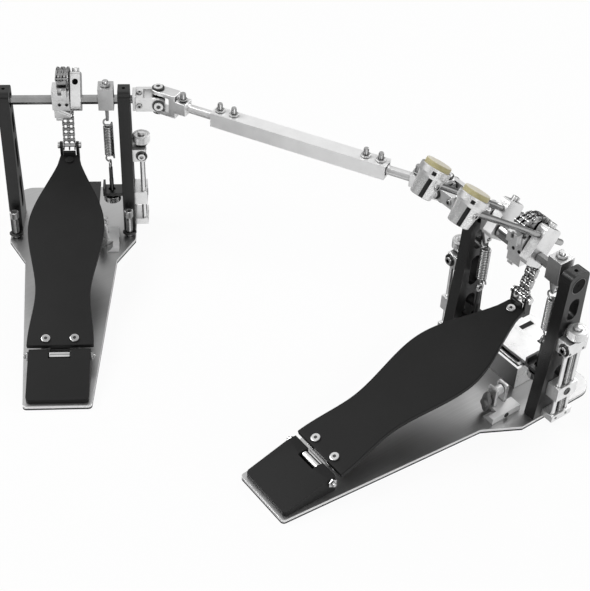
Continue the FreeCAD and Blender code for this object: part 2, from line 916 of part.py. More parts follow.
def slave_shaft():
    yoke_seat = slave_cross_reach - yoke_bridge_far
    hexagon = hexagon_x(shaft_flats, -post_inner + seat_clearance, post_inner - seat_clearance)
    journal = round_x(shaft_radius, -post_outer, yoke_seat)
    return fuse([hexagon, journal])


# Universal joints
def yoke_ears():
    """Two ears on the Y pins of a joint at the origin, joined by a bridge towards minus X."""
    inner = yoke_ear_inner
    outer = yoke_ear_inner + yoke_ear_thickness
    ear = fuse([
        round_y(yoke_ear_radius, inner, outer, 0, 0),
        box(-yoke_bridge_far, 0, inner, outer, -yoke_ear_radius, yoke_ear_radius),
    ])
    bridge = box(-yoke_bridge_far, -yoke_bridge_near, -outer, outer, -yoke_half_width, yoke_half_width)
    return fuse([ear, ear.mirror(Vector(0, 0, 0), along_y), bridge])


def ear_holes(radius):
    reach = yoke_ear_inner + yoke_ear_thickness + overrun
    return round_y(radius, -reach, reach, 0, 0)


def shaft_yoke(cross_reach):
    """A yoke on the right end of a shaft, drawn with the joint at cross_reach."""
    ears = yoke_ears().cut(ear_holes(cross_screw_radius + running_clearance))
    ears.translate(Vector(cross_reach, 0, shaft_height))
    hub_end = cross_reach - yoke_bridge_far
    hub = box(yoke_start, hub_end, -yoke_hub_half, yoke_hub_half, shaft_height - yoke_hub_half,
              shaft_height + yoke_hub_half)
    return fuse([ears, hub]).cut(round_x(shaft_radius + running_clearance, 0, hub_end))


def cross(centre, yaw_degrees):
    """The joint's centre block with four shouldered screws in the yokes' ears."""
    block = box(-cross_half, cross_half, -cross_half, cross_half, -cross_half, cross_half)
    ear_outer = yoke_ear_inner + yoke_ear_thickness
    head_start = ear_outer + seat_clearance
    head_end = head_start + cross_head_length
    screw = fuse([
        round_y(cross_screw_radius, cross_half, head_start + seat_clearance, 0, 0),
        round_y(cross_head_radius, head_start, head_end, 0, 0),
    ])
    solids = [block]
    for step in range(4):
        turned = screw.copy()
        turned.rotate(Vector(0, 0, 0), along_x, step * 90)
        solids.append(turned)
    place = FreeCAD.Placement(centre, FreeCAD.Rotation(along_z, yaw_degrees))
    for solid in solids:
        solid.Placement = place.multiply(solid.Placement)
    return solids


def drive_yoke(rod_show):
    """A yoke with upright pins at the origin, with its neck and rod towards plus X."""
    ears = yoke_ears().cut(ear_holes(cross_screw_radius + open_pivot_clearance))
    ears.rotate(Vector(0, 0, 0), along_x, 90)
    ears.rotate(Vector(0, 0, 0), along_z, 180)
    neck_end = yoke_bridge_far + drive_neck_length
    half = drive_neck_half
    neck = box(yoke_bridge_far, neck_end, -half, half, -half, half)
    rod = hexagon_x(drive_rod_flats, neck_end, rod_show + drive_rod_insert, 0, 0)
    return fuse([ears, neck, rod])


def neck_screw():
    x = yoke_bridge_far + drive_neck_length / 2
    return round_z(neck_screw_radius, drive_neck_half, drive_neck_half + neck_screw_height, x, 0)


def from_far_end(solid):
    turned = solid.copy()
    turned.rotate(Vector(0, 0, 0), along_z, 180)
    turned.translate(Vector(drive_length, 0, 0))
    return turned


def drive_sleeve():
    half = drive_sleeve_half
    start = slave_rod_show
    end = drive_length - main_rod_show
    tube = box(start, end, -half, half, -half, half)
    bore = drive_sleeve_bore
    tube = tube.cut(box(start - overrun, end + overrun, -bore, bore, -bore, bore))
    for x in sleeve_screw_xs():
        tube = tube.cut(round_z(sleeve_screw_radius, 0, half + overrun, x, 0))
    return tube


def sleeve_screw_xs():
    start = slave_rod_show
    end = drive_length - main_rod_show
    return [start + place for place in sleeve_screw_places] + [end - place for place in sleeve_screw_places]


def drive_screws():
    half = drive_sleeve_half
    rod_top = drive_rod_flats / 2
    screws = []
    for x in sleeve_screw_xs():
        nut_top = half + sleeve_nut_height
        shank = round_z(sleeve_screw_radius, rod_top + running_clearance + sleeve_screw_tip, nut_top, x, 0)
        nut = hexagon_z(sleeve_nut_flats, half, nut_top, x, 0)
        head_half = sleeve_screw_head_half
        head = box(x - head_half, x + head_half, -head_half, head_half,
                   nut_top, nut_top + sleeve_screw_head_height)
        tip = round_z(sleeve_screw_tip, rod_top + running_clearance, rod_top + 2 * sleeve_screw_tip, x, 0)
        screws.append(fuse([shank, nut, head, tip]))
    screws += [neck_screw(), from_far_end(neck_screw())]
    return screws


# Beaters
def beater_rod(x):
    start = beater_point(-beater_rod_tail, beater_rod_offset) + along_x * x
    length = beater_rod_tail + head_reach + head_socket_depth / 2 - head_body_radius
    return Part.makeCylinder(beater_rod_radius, length, start, beater_along)


def on_head_axis(x, across):
    return beater_point(head_reach, across) + along_x * x


def beater_head(x):
    body = Part.makeCone(head_low_radius, head_body_radius, head_body_top - head_low,
                         on_head_axis(x, head_low), beater_across)
    flange = Part.makeCylinder(head_flange_radius, head_flange_top - head_body_top,
                               on_head_axis(x, head_body_top), beater_across)
    seat_start = on_head_axis(x, head_flange_top - face_seat_depth)
    seat = Part.makeCylinder(face_radius, face_seat_depth, seat_start, beater_across)
    head = fuse([body, flange]).cut(seat).cut(beater_rod(x))
    return head.cut(head_slot(x)).cut(head_window(x))


def head_slot(x):
    """The slot down the right side of a head's body."""
    half = head_slot_half_width
    low = head_low - overrun
    high = head_body_top - head_slot_end
    corners = [beater_point(head_reach + a, b)
               for a, b in ((-half, low), (half, low), (half, high), (-half, high))]
    return prism_between(corners, x + head_low_radius - head_slot_depth, x + head_flange_radius + overrun)


def head_window(x):
    """The square window in the right side of a head's flange."""
    half = head_window_half
    middle = (head_body_top + head_flange_top - face_seat_depth) / 2
    centre = head_reach - head_window_offset
    corners = [beater_point(centre + a * half, middle + b * half)
               for a, b in ((-1, -1), (1, -1), (1, 1), (-1, 1))]
    return prism_between(corners, x + head_body_radius - head_slot_depth, x + head_flange_radius + overrun)


def beater_face(x):
    face = Part.makeCylinder(face_radius, face_thickness, on_head_axis(x, head_flange_top - face_seat_depth),
                             beater_across)
    rim = max(face.Edges, key=lambda e: e.BoundBox.Center.dot(beater_across) if e.Closed else -heel_reach)
    return face.makeFillet(face_seat_depth / 2, [rim])


# Springs
def arc_from(start, tangent, end):
    chord = end - start
    along = Vector(chord)
    along.normalize()
    side = tangent - along * tangent.dot(along)
    turn = math.acos(max(-1, min(1, tangent.dot(along))))
    middle = (start + end) / 2
    if turn > straight_turn:
        side.normalize()
        middle = middle + side * (chord.Length / 2 * math.tan(turn / 2))
    return Part.Arc(start, middle, end)


def biarc(start, start_tangent, end, end_tangent):
    """Two arcs that meet smoothly and keep the given end directions."""
    chord = end - start
    both = start_tangent + end_tangent
    spread = 2 * (1 - start_tangent.dot(end_tangent))
    reach = (-chord.dot(both) + math.sqrt(chord.dot(both) ** 2 + spread * chord.dot(chord))) / spread
    first = start + start_tangent * reach
    second = end - end_tangent * reach
    joint = (first + second) / 2
    joint_tangent = second - first
    joint_tangent.normalize()
    return [arc_from(start, start_tangent, joint), arc_from(joint, joint_tangent, end)]


def helix_point(quarter):
    angle = quarter * math.pi / 2
    return Vector(coil_radius * math.cos(angle), coil_radius * math.sin(angle),
                  coil_bottom + coil_pitch * (quarter - 1) / 4)


def helix_tangent(quarter):
    angle = quarter * math.pi / 2
    rise = coil_pitch / (2 * math.pi)
    tangent = Vector(-coil_radius * math.sin(angle), coil_radius * math.cos(angle), rise)
    tangent.normalize()
    return tangent


def hook_arcs(centre, start_side, upward):
    """A ring in the upright plane that faces the footboard, from its point nearest the coil."""
    sweep = math.radians(hook_sweep_degrees)
    pieces = []
    for half in (0, 1):
        places = [sweep * (half + share) / 2 for share in (0, 1 / 2, 1)]
        points = [centre + Vector(start_side * hook_radius * math.sin(a), 0,
                                  -upward * hook_radius * math.cos(a)) for a in places]
        pieces.append(points)
    return pieces


def spring_path():
    """From the low hook, up the coil by quarter turns, to the top hook, all in smooth arcs."""
    last_quarter = 4 * coil_turns + 1
    top_start = Vector(0, 0, coil_top + hook_rise)
    low_start = Vector(0, 0, coil_bottom - hook_rise)
    last = helix_point(last_quarter)
    arcs = []
    low_hook = hook_arcs(low_start - along_z * hook_radius, -1, -1)
    arcs += [Part.Arc(*reversed(points)) for points in reversed(low_hook)]
    previous = helix_point(1)
    previous_tangent = Vector(-1, 0, 0)
    arcs += biarc(low_start, Vector(1, 0, 0), previous, previous_tangent)
    for quarter in range(2, last_quarter):
        point = helix_point(quarter)
        tangent = helix_tangent(quarter)
        arcs += biarc(previous, previous_tangent, point, tangent)
        previous = point
        previous_tangent = tangent
    arcs += biarc(previous, previous_tangent, last, Vector(-1, 0, 0))
    arcs += biarc(last, Vector(-1, 0, 0), top_start, Vector(1, 0, 0))
    top_hook = hook_arcs(top_start + along_z * hook_radius, 1, 1)
    arcs += [Part.Arc(*points) for points in top_hook]
    return arcs


def least_gap(arcs):
    """The least distance between stretches of the wire that are more than half a turn apart."""
    points = []
    for arc in arcs:
        span = arc.LastParameter - arc.FirstParameter
        points += [arc.value(arc.FirstParameter + span * share) for share in (0, 1 / 4, 1 / 2, 3 / 4)]
    travelled = [0]
    for before, after in zip(points, points[1:]):
        travelled.append(travelled[-1] + before.distanceToPoint(after))
    apart = math.pi * coil_radius / 2
    least = coil_length
    for i, point in enumerate(points):
        for j in range(i + 1, len(points)):
            if travelled[j] - travelled[i] > apart:
                least = min(least, point.distanceToPoint(points[j]))
    return least - 2 * wire_radius


def spring_solid():
    arcs = spring_path()
    print("spring wire, least gap to itself:", round(least_gap(arcs), 2))
    edges = [arc.toShape() for arc in arcs]
    path = Part.Wire(Part.__sortEdges__(edges))
    start = path.OrderedVertexes[0].Point
    first_edge = path.OrderedEdges[0]
    heading = first_edge.tangentAt(first_edge.FirstParameter)
    section = Part.Wire([Part.makeCircle(wire_radius, start, heading)])
    tube = path.makePipeShell([section], True, False)
    return Part.Solid(tube) if tube.ShapeType == "Shell" else tube


def at_x(solid, x):
    copy = solid.copy()
    copy.translate(Vector(x, 0, 0))
    return copy


def spring_rod():
    """The eyed rod under a spring, with the round nut that hangs it in the bracket."""
    eye = Part.makeTorus(eye_radius, eye_wire_radius, Vector(0, 0, eye_height), along_x)
    rod_top = eye_height - eye_radius
    rod = round_z(spring_rod_radius, spring_rod_bottom, rod_top, 0, 0)
    dome = Part.makeSphere(nut_dome_radius, Vector(0, 0, rod_pivot_height))
    nut_top = rod_pivot_height + nut_above_pivot
    nut = round_z(nut_radius, nut_top - nut_length, nut_top, 0, 0)
    return fuse([eye, rod, dome, nut])


# Tension adjusters, drawn on a right-hand post
def tension_screw_place():
    return post_outer + tension_screw_out


def tension_support():
    x0 = post_outer
    x1 = post_outer + block_width
    y = block_half_depth
    screw_x = tension_screw_place()
    hole = round_z(tension_screw_radius + running_clearance, 0, post_top, screw_x, 0)
    foot = box(x0, x1, -y, y, support_foot_low, support_foot_high)
    head = box(x0, x1, -y, y, support_head_low, support_head_high).cut(hole)
    bolt_z = (support_head_low + support_head_high) / 2
    bolt = round_y(support_bolt_radius, -y - support_bolt_length, -y, screw_x, bolt_z)
    rods = [round_z(guide_radius, support_foot_high, support_head_low, screw_x, side * guide_spacing / 2)
            for side in (-1, 1)]
    return [foot, head, bolt] + rods


def tension_knob():
    x = tension_screw_place()
    low = support_foot_high + seat_clearance
    collar_low = support_head_high + seat_clearance
    collar_top = collar_low + knob_collar_height
    knob_top = collar_top + knob_height
    return fuse([
        round_z(tension_screw_radius, low, collar_top, x, 0),
        round_z(knob_collar_radius, collar_low, collar_top, x, 0),
        round_z(knob_radius, collar_top, knob_top, x, 0),
        hexagon_z(knob_hex_flats, knob_top, knob_top + knob_hex_height, x, 0),
    ])


def tension_block(hook_x):
    """The sliding block and the bracket that it carries through the post's lowest slot."""
    x0 = post_outer + seat_clearance
    x1 = post_outer + block_width
    screw_x = tension_screw_place()
    block = box(x0, x1, -block_half_depth, block_half_depth, block_low, block_high)
    block = block.cut(round_z(tension_screw_radius + running_clearance, 0, post_top, screw_x, 0))
    for side in (-1, 1):
        guide_y = side * guide_spacing / 2
        block = block.cut(round_z(guide_radius + running_clearance, 0, post_top, screw_x, guide_y))
    hole_z = (block_low + block_high) / 2
    block = block.cut(round_x(block_hole_radius, x1 - block_hole_depth / 2, x1 + overrun, 0, hole_z))
    low = bracket_low
    high = bracket_low + bracket_thickness
    inner_face = post_inner - seat_clearance
    start = hook_x - bracket_reach
    plate = box(start, inner_face, -bracket_half_depth, bracket_half_depth, low, high)
    wall = box(start, start + bracket_wall, -bracket_half_depth, bracket_half_depth,
               low, high + bracket_wall_height)
    stem_low = block_high - 2 * bracket_thickness
    stem_high = high
    stem = box(inner_face, x0, -stem_half_depth, stem_half_depth, stem_low, stem_high)
    rod_hole = round_z(bracket_rod_hole, 0, post_top, hook_x, 0)
    return [block, fuse([plate, wall, stem]).cut(rod_hole)]


# Hoop clamp
def clamp_tower():
    half = tower_half_width
    body = box(-half, half, tower_heel, tower_front, plate_top, tower_top)
    inside = half - tower_wall
    hollow = box(-inside, inside, tower_heel + tower_wall, tower_front - tower_wall, plate_top - overrun,
                 tower_top + overrun)
    pin_hole = round_x(jaw_pin_radius, -half - overrun, half + overrun, jaw_pivot_y, jaw_pivot_height)
    return body.cut(hollow).cut(pin_hole)


def tower_cap():
    """The flat plate that closes the slave pedal's tower, which has no jaw."""
    return box(-jaw_half_width, jaw_half_width, tower_heel, cap_front, tower_top, tower_top + jaw_thickness)


def clamp_pin():
    return round_x(jaw_pin_radius, -tower_half_width, tower_half_width, jaw_pivot_y, jaw_pivot_height)


def clamp_jaw():
    low = tower_top + clamp_gap
    high = low + jaw_thickness
    half = jaw_half_width
    plate = box(-half, half, jaw_pivot_y + clamp_gap, jaw_front, low, high)
    lip = box(-half, half, jaw_front - jaw_lip_depth, jaw_front, jaw_lip_low, low)
    ear_out = tower_half_width - tower_wall - clamp_gap
    ear_in = ear_out - jaw_ear_thickness
    ear = fuse([
        box(ear_in, ear_out, jaw_pivot_y - jaw_ear_half_depth, jaw_pivot_y + jaw_ear_half_depth,
            jaw_pivot_height, low),
        round_x(jaw_ear_half_depth, ear_in, ear_out, jaw_pivot_y, jaw_pivot_height),
    ])
    jaw = fuse([plate, lip, ear, mirrored_x(ear)])
    for side in (-1, 1):
        x = side * jaw_slot_spacing / 2
        y1 = jaw_front - jaw_lip_depth
        jaw = jaw.cut(box(x - jaw_slot_width / 2, x + jaw_slot_width / 2, y1 - jaw_slot_length, y1,
                          high - jaw_slot_depth, high + overrun))
    jaw = jaw.cut(round_x(jaw_pin_radius + running_clearance, -half, half, jaw_pivot_y, jaw_pivot_height))
    pad = box(-half, half, jaw_front - jaw_lip_depth, jaw_front,
              jaw_lip_low - jaw_pad_thickness, jaw_lip_low)
    return [jaw, pad]


def fork_x():
    return fork_left + fork_ear_half_width


def side_block():
    """A foot with a fork on it, whose two ears carry a roller."""
    top = plate_top + side_block_height
    foot = box(side_block_left, side_block_right, side_block_heel, side_block_front, plate_top, top)
    fork_right = fork_left + 2 * fork_ear_half_width
    stand = box(fork_left, side_block_right, fork_heel, fork_front, plate_top, top)
    x = fork_x()

    def ear(y):
        return fuse([
            box(fork_left, fork_right, y, y + fork_ear_thickness, top, roller_height),
            round_y(fork_ear_half_width, y, y + fork_ear_thickness, x, roller_height),
        ])

    far_ear = fork_front - fork_ear_thickness
    pin = round_y(fork_pin_radius, fork_heel, fork_front, x, roller_height)
    hole_y = (side_block_heel + side_block_front) / 2
    hole = round_x(side_hole_radius, side_block_right - side_hole_depth, side_block_right + overrun,
                   hole_y, plate_top + side_block_height / 2)
    bolt_hole = round_y(wing_bolt_radius + running_clearance, fork_heel - overrun,
                        fork_heel + fork_ear_thickness + overrun, x, wing_bolt_height)
    wing_room = round_y(wing_half_height + wing_swing_clearance, side_block_heel - overrun,
                        fork_heel - wing_hub_gap, x, wing_bolt_height)
    body = fuse([foot.cut(wing_room), stand, ear(fork_heel), ear(far_ear)])
    body = body.cut(pin).cut(hole).cut(bolt_hole)
    tube = round_y(fork_roller_radius, fork_heel + fork_ear_thickness + clamp_gap, far_ear - clamp_gap,
                   x, roller_height)
    return [body, pin, tube.cut(pin)]


def wing_bolt():
    """A bolt in the fork's heel ear with one long oval wing."""
    x = fork_x()
    z = wing_bolt_height
    hub_front_end = fork_heel - wing_hub_gap
    hub_heel_end = hub_front_end - wing_hub_length
    hub = round_y(wing_hub_radius, hub_heel_end, hub_front_end, x, z)
    bolt = round_y(wing_bolt_radius, hub_front_end, fork_heel + fork_ear_thickness, x, z)
    y0 = (hub_heel_end + hub_front_end - wing_thickness) / 2
    centre = Vector(x, y0, z)
    oval = Part.Ellipse(centre + along_z * wing_half_height, centre + along_x * wing_half_width, centre)
    wing = Part.Face(Part.Wire([oval.toShape()])).extrude(Vector(0, wing_thickness, 0))
    return fuse([hub, bolt, wing])


def build():
    os.makedirs("parts", exist_ok=True)
    pair = [post(), mirrored_x(post())]
    caps = [bearing_cap(), mirrored_x(bearing_cap())]
    bearings = bearing() + [mirrored_x(ring) for ring in bearing()]
    right_support = tension_support()
    left_support = [mirrored_x(solid) for solid in right_support]
    clamp_fixed = [clamp_tower(), clamp_pin()]
    fittings = [hinge_tongue()] + heel_screws() + toe_clevis()

    # What stands on the floor
    save("base_plates", [base_plate([])] + on_slave([base_plate(spur_places())]))
    save("rubber_soles", [sole([])] + on_slave([sole(spur_places())]))
    save("posts", pair + on_slave(pair))
    save("bearing_caps", caps + on_slave(caps))
    save("shaft_bearings", bearings + on_slave(bearings))
    save("heel_plates", [heel_plate()] + on_slave([heel_plate()]))
    save("hinge_pins", [hinge_pin()] + on_slave([hinge_pin()]))
    save("tension_supports", right_support + left_support + on_slave(right_support))
    save("clamp_towers", clamp_fixed + on_slave([clamp_tower(), tower_cap()]))
    save("clamp_blocks", side_block() + on_slave(side_block()))
    save("floor_spurs", on_slave(floor_spurs()))

    # What turns on each pedal's shaft line
    save("main_shaft", [main_shaft()])
    save("slave_shaft", on_slave([slave_shaft()]))
    save("left_shaft", [left_shaft()])
    hub = cam_hub()
    save("main_cam_hub", hub)
    save("slave_cam_hub", on_slave(hub))
    wheel = [sprocket()]
    save("main_sprocket", wheel)
    save("slave_sprocket", on_slave(wheel))
    wrapped = wrapped_chain()
    save("main_wrapped_chain", wrapped)
    save("slave_wrapped_chain", on_slave(wrapped))
    save("main_beater_hub", beater_hub(main_beater_x))
    save("slave_beater_hub", on_slave(beater_hub(main_beater_x)))
    save("left_beater_hub", beater_hub(left_beater_x))
    arm = spring_arm(arm_left, arm_right, spring_x)
    save("main_spring_arm", arm)
    save("slave_spring_arm", on_slave(arm))
    save("left_spring_arm", spring_arm(left_arm_left, left_arm_right, left_spring_x))
    save("slave_yoke", on_slave([shaft_yoke(slave_cross_reach)]))
    save("left_yoke", [mirrored_x(shaft_yoke(main_cross_reach))])

    # Footboards and hanging chains
    save("main_footboard", [footboard()])
    save("slave_footboard", on_slave([footboard()]))
    save("main_footboard_fittings", fittings)
    save("slave_footboard_fittings", on_slave(fittings))
    hanging = hanging_chain()
    save("main_hanging_chain", hanging)
    save("slave_hanging_chain", on_slave(hanging))

    # Springs and their adjusters
    coil = spring_solid()
    rod = spring_rod()
    save("main_spring", [at_x(coil, spring_x)])
    save("left_spring", [at_x(coil, left_spring_x)])
    save("slave_spring", on_slave([at_x(coil, spring_x)]))
    save("main_spring_rod", [at_x(rod, spring_x)])
    save("left_spring_rod", [at_x(rod, left_spring_x)])
    save("slave_spring_rod", on_slave([at_x(rod, spring_x)]))
    save("main_tension_knob", [tension_knob()])
    save("left_tension_knob", [mirrored_x(tension_knob())])
    save("slave_tension_knob", on_slave([tension_knob()]))
    save("main_tension_block", tension_block(spring_x))
    save("left_tension_block", [mirrored_x(solid) for solid in tension_block(-left_spring_x)])
    save("slave_tension_block", on_slave(tension_block(spring_x)))

    # Driveshaft between the pedals
    save("slave_cross", cross(slave_cross, slave_yaw_degrees))
    save("left_cross", cross(main_cross, 0))
    save("drive_sleeve", on_drive([drive_sleeve()]))
    save("drive_yokes", on_drive([drive_yoke(slave_rod_show), from_far_end(drive_yoke(main_rod_show))]))
    save("drive_screws", on_drive(drive_screws()))

    # Beaters
    for name, x in (("main", main_beater_x), ("left", left_beater_x)):
        save(name + "_beater_rod", [beater_rod(x)])
        save(name + "_beater_head", [beater_head(x)])
        save(name + "_beater_face", [beater_face(x)])

    # Hoop clamp pieces that move
    save("main_clamp_jaw", clamp_jaw())
    save("main_wing_bolt", [wing_bolt()])
    save("slave_wing_bolt", on_slave([wing_bolt()]))


build()
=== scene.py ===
# %% [markdown]
# # A double bass drum pedal, dressed for the camera
# Two pedals stand on steel base plates and share one driveshaft, so that both feet play one drum.
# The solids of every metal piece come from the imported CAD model. In this lesson they get their
# finishes, the springs and felt faces are modelled anew, and small screws and knurls are added.
# Everything is in metres: +Z is up, +Y points to the drum, and +X runs along the main shaft.
# Sizes are written in millimetres and multiplied by MM where a mesh is made.

# %% Load the CAD model as a fixed frame
import json
import math
import bpy
from mathutils import Matrix, Vector

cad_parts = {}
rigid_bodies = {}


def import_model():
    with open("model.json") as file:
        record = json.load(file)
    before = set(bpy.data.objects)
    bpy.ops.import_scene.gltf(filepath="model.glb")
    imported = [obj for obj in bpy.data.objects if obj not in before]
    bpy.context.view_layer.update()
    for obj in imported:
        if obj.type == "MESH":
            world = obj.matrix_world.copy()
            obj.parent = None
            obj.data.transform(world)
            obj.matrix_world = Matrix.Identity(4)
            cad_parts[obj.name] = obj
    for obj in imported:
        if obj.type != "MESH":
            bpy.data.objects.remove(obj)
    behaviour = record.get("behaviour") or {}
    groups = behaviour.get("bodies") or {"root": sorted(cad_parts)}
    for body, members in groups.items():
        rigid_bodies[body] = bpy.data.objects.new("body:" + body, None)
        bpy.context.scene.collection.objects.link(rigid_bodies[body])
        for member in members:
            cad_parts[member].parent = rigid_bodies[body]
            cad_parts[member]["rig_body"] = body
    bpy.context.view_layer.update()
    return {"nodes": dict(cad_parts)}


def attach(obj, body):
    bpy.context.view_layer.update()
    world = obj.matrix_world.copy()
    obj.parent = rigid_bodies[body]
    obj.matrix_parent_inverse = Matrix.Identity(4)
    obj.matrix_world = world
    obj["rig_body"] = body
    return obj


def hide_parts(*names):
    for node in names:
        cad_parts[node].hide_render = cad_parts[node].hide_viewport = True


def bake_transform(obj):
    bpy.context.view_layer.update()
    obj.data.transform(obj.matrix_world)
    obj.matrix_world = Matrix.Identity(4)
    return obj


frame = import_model()
MM = 0.001

# %% [markdown]
# ## Where things are
# The main pedal is drawn in the frame itself. The slave pedal is the same pedal turned and set down
# to the left, so one matrix brings any piece of it into place. A second matrix follows the driveshaft,
# and a third gives the slanted axis that both beater heads share.

# %% Placement matrices
SHAFT_HEIGHT = 172
SHAFT_Z = SHAFT_HEIGHT * MM
SLAVE_X, SLAVE_Y, SLAVE_YAW = -476.3, -243.6, math.radians(57.4)
MAIN_JOINT_X, SLAVE_JOINT_X = -116, 104
BEATER_LEAN = math.radians(35)
HEAD_REACH = 140.5
MAIN = Matrix.Identity(4)
SLAVE = Matrix.Translation((SLAVE_X * MM, SLAVE_Y * MM, 0)) @ Matrix.Rotation(SLAVE_YAW, 4, "Z")
PEDALS = (("main", MAIN), ("slave", SLAVE))
main_joint = Vector((MAIN_JOINT_X * MM, 0, SHAFT_Z))
slave_joint = SLAVE @ Vector((SLAVE_JOINT_X * MM, 0, SHAFT_Z))
drive_way = main_joint - slave_joint
DRIVE = Matrix.Translation(slave_joint) @ Matrix.Rotation(math.atan2(drive_way.y, drive_way.x), 4, "Z")
ROD_WAY = Vector((0, -math.cos(BEATER_LEAN), math.sin(BEATER_LEAN)))
HEAD_WAY = Vector((0, math.sin(BEATER_LEAN), math.cos(BEATER_LEAN)))


def shift(x=0.0, y=0.0, z=0.0):
    """A move in millimetres."""
    return Matrix.Translation((x * MM, y * MM, z * MM))


def head_place(x):
    """Origin on the rod's reach at a head, with Z along the head's axis towards the drum."""
    reach = ROD_WAY * HEAD_REACH * MM
    return Matrix.Translation(Vector((x * MM, 0, SHAFT_Z)) + reach) @ Matrix.Rotation(-BEATER_LEAN, 4, "X")


print("driveshaft between joints:", round(drive_way.length / MM, 1), "mm")

# %% [markdown]
# ## The camera
# The photograph was taken from the player's right, well above the pedals, with a long lens.
# The camera is set from three directions: where it looks, what is right and what is up.
# A small shift of the lens moves the picture in its frame without changing the perspective.

# %% Camera
CAMERA_PLACE = (0.65614, -0.799, 0.9601)
CAMERA_LOOK = (-0.6032, 0.4564, -0.6541)
CAMERA_ROLL = 0.036
SENSOR, LENS = 36, 80.1
LENS_SHIFT = (0.0346, 0.0086)
camera_data = bpy.data.cameras.new("camera")
camera = bpy.data.objects.new("camera", camera_data)
bpy.context.scene.collection.objects.link(camera)
look = Vector(CAMERA_LOOK).normalized()
level = look.cross(Vector((0, 0, 1))).normalized()
above = level.cross(look)
right = math.cos(CAMERA_ROLL) * level + math.sin(CAMERA_ROLL) * above
up = right.cross(look)
facing = Matrix((right, up, -look)).transposed().to_4x4()
camera.matrix_world = Matrix.Translation(CAMERA_PLACE) @ facing
camera_data.sensor_fit = "HORIZONTAL"
camera_data.sensor_width = SENSOR
camera_data.lens = LENS
camera_data.shift_x, camera_data.shift_y = LENS_SHIFT
bpy.context.scene.camera = camera
print("camera at", CAMERA_PLACE)

# %% [markdown]
# ## A small language for shaders
# A material is a graph of nodes. Writing it as arithmetic is easier to read than wiring boxes, so
# a small class wraps one output socket. Adding or multiplying two of them adds the Math node for it.
# Every other node is made by one method that sets the node's options first and then its inputs.


# %% Values with arithmetic
class Value:
    """One output socket of a node tree, with arithmetic."""

    def __init__(self, tree, socket):
        self.tree = tree
        self.socket = socket

    def maths(self, operation, *others, swap=False):
        sides = (*others, self) if swap else (self, *others)
        node = self.tree.nodes.new("ShaderNodeMath")
        node.operation = operation
        for place, side in enumerate(sides):
            plug(self.tree, node.inputs[place], side)
        return Value(self.tree, node.outputs[0])

    def __add__(self, other):
        return self.maths("ADD", other)

    def __radd__(self, other):
        return self.maths("ADD", other, swap=True)

    def __sub__(self, other):
        return self.maths("SUBTRACT", other)

    def __rsub__(self, other):
        return self.maths("SUBTRACT", other, swap=True)

    def __mul__(self, other):
        return self.maths("MULTIPLY", other)

    def __rmul__(self, other):
        return self.maths("MULTIPLY", other, swap=True)

    def below(self, limit):
        return self.maths("LESS_THAN", limit)

    def smooth(self, low, high):
        return add_node(self.tree, "ShaderNodeMapRange", {"interpolation_type": "SMOOTHSTEP"},
                        Value=self, From_Min=low, From_Max=high)


def plug(tree, socket, value):
    if isinstance(value, Value):
        tree.links.new(value.socket, socket)
    else:
        socket.default_value = value


def add_node(tree, kind, options=None, output=0, **inputs):
    node = tree.nodes.new(kind)
    for name, setting in (options or {}).items():
        if name == "stops":
            ramp = node.color_ramp.elements
            for place, (at, colour) in enumerate(setting):
                element = ramp[place] if place < 2 else ramp.new(at)
                element.position = at
                element.color = colour
        else:
            setattr(node, name, setting)
    for name, value in inputs.items():
        words = name.replace("_", " ")
        found = [s for s in node.inputs if s.name == words and s.enabled]
        plug(tree, found[0], value)
    return Value(tree, node.outputs[output])


def grey(level):
    return (level, level, level, 1)


def mix_colour(fac, first, second):
    tree = fac.tree
    node = tree.nodes.new("ShaderNodeMix")
    node.data_type = "RGBA"
    plug(tree, node.inputs[0], fac)
    plug(tree, node.inputs[6], first)
    plug(tree, node.inputs[7], second)
    return Value(tree, node.outputs[2])


print("values ready")


# %% A finish
class Finish:
    """A material with its Principled shader, its tree and the place of a point on the piece."""

    def __init__(self, name, **sockets):
        self.material = bpy.data.materials.new(name)
        self.material.use_nodes = True
        self.tree = self.material.node_tree
        self.shader = self.tree.nodes["Principled BSDF"]
        self.place = add_node(self.tree, "ShaderNodeTexCoord", output=3)
        self.set(**sockets)

    def set(self, **sockets):
        for name, value in sockets.items():
            plug(self.tree, self.shader.inputs[name.replace("_", " ")], value)
        return self

    def node(self, kind, options=None, output=0, **inputs):
        return add_node(self.tree, kind, options, output, **inputs)

    def noise(self, scale, detail, place=None):
        return self.node("ShaderNodeTexNoise", Vector=place or self.place, Scale=scale, Detail=detail)

    def tones(self, low, high, fac):
        return self.node("ShaderNodeValToRGB", {"stops": [(0.3, grey(low)), (0.7, grey(high))]}, Fac=fac)

    def stretched(self, x, y, z, turn):
        return self.node("ShaderNodeMapping", Vector=self.place, Rotation=(0, 0, turn), Scale=(x, y, z))

    def bump(self, height, strength, distance):
        normal = self.node("ShaderNodeBump", Height=height, Strength=strength, Distance=distance)
        return self.set(Normal=normal)


print("finishes can be written")

# %% [markdown]
# ## Floor, world and lamps
# The picture has a plain white ground, so the floor is a pale matte sheet that the camera sees nearly
# white while it still takes the pedals' soft shadow. The world is white to the camera. Mirror
# reflections see a studio instead, a bright tent with dark flags hung round it, because polished metal
# looks like metal only when it has something dark to reflect. Three large lamps shape the pieces.

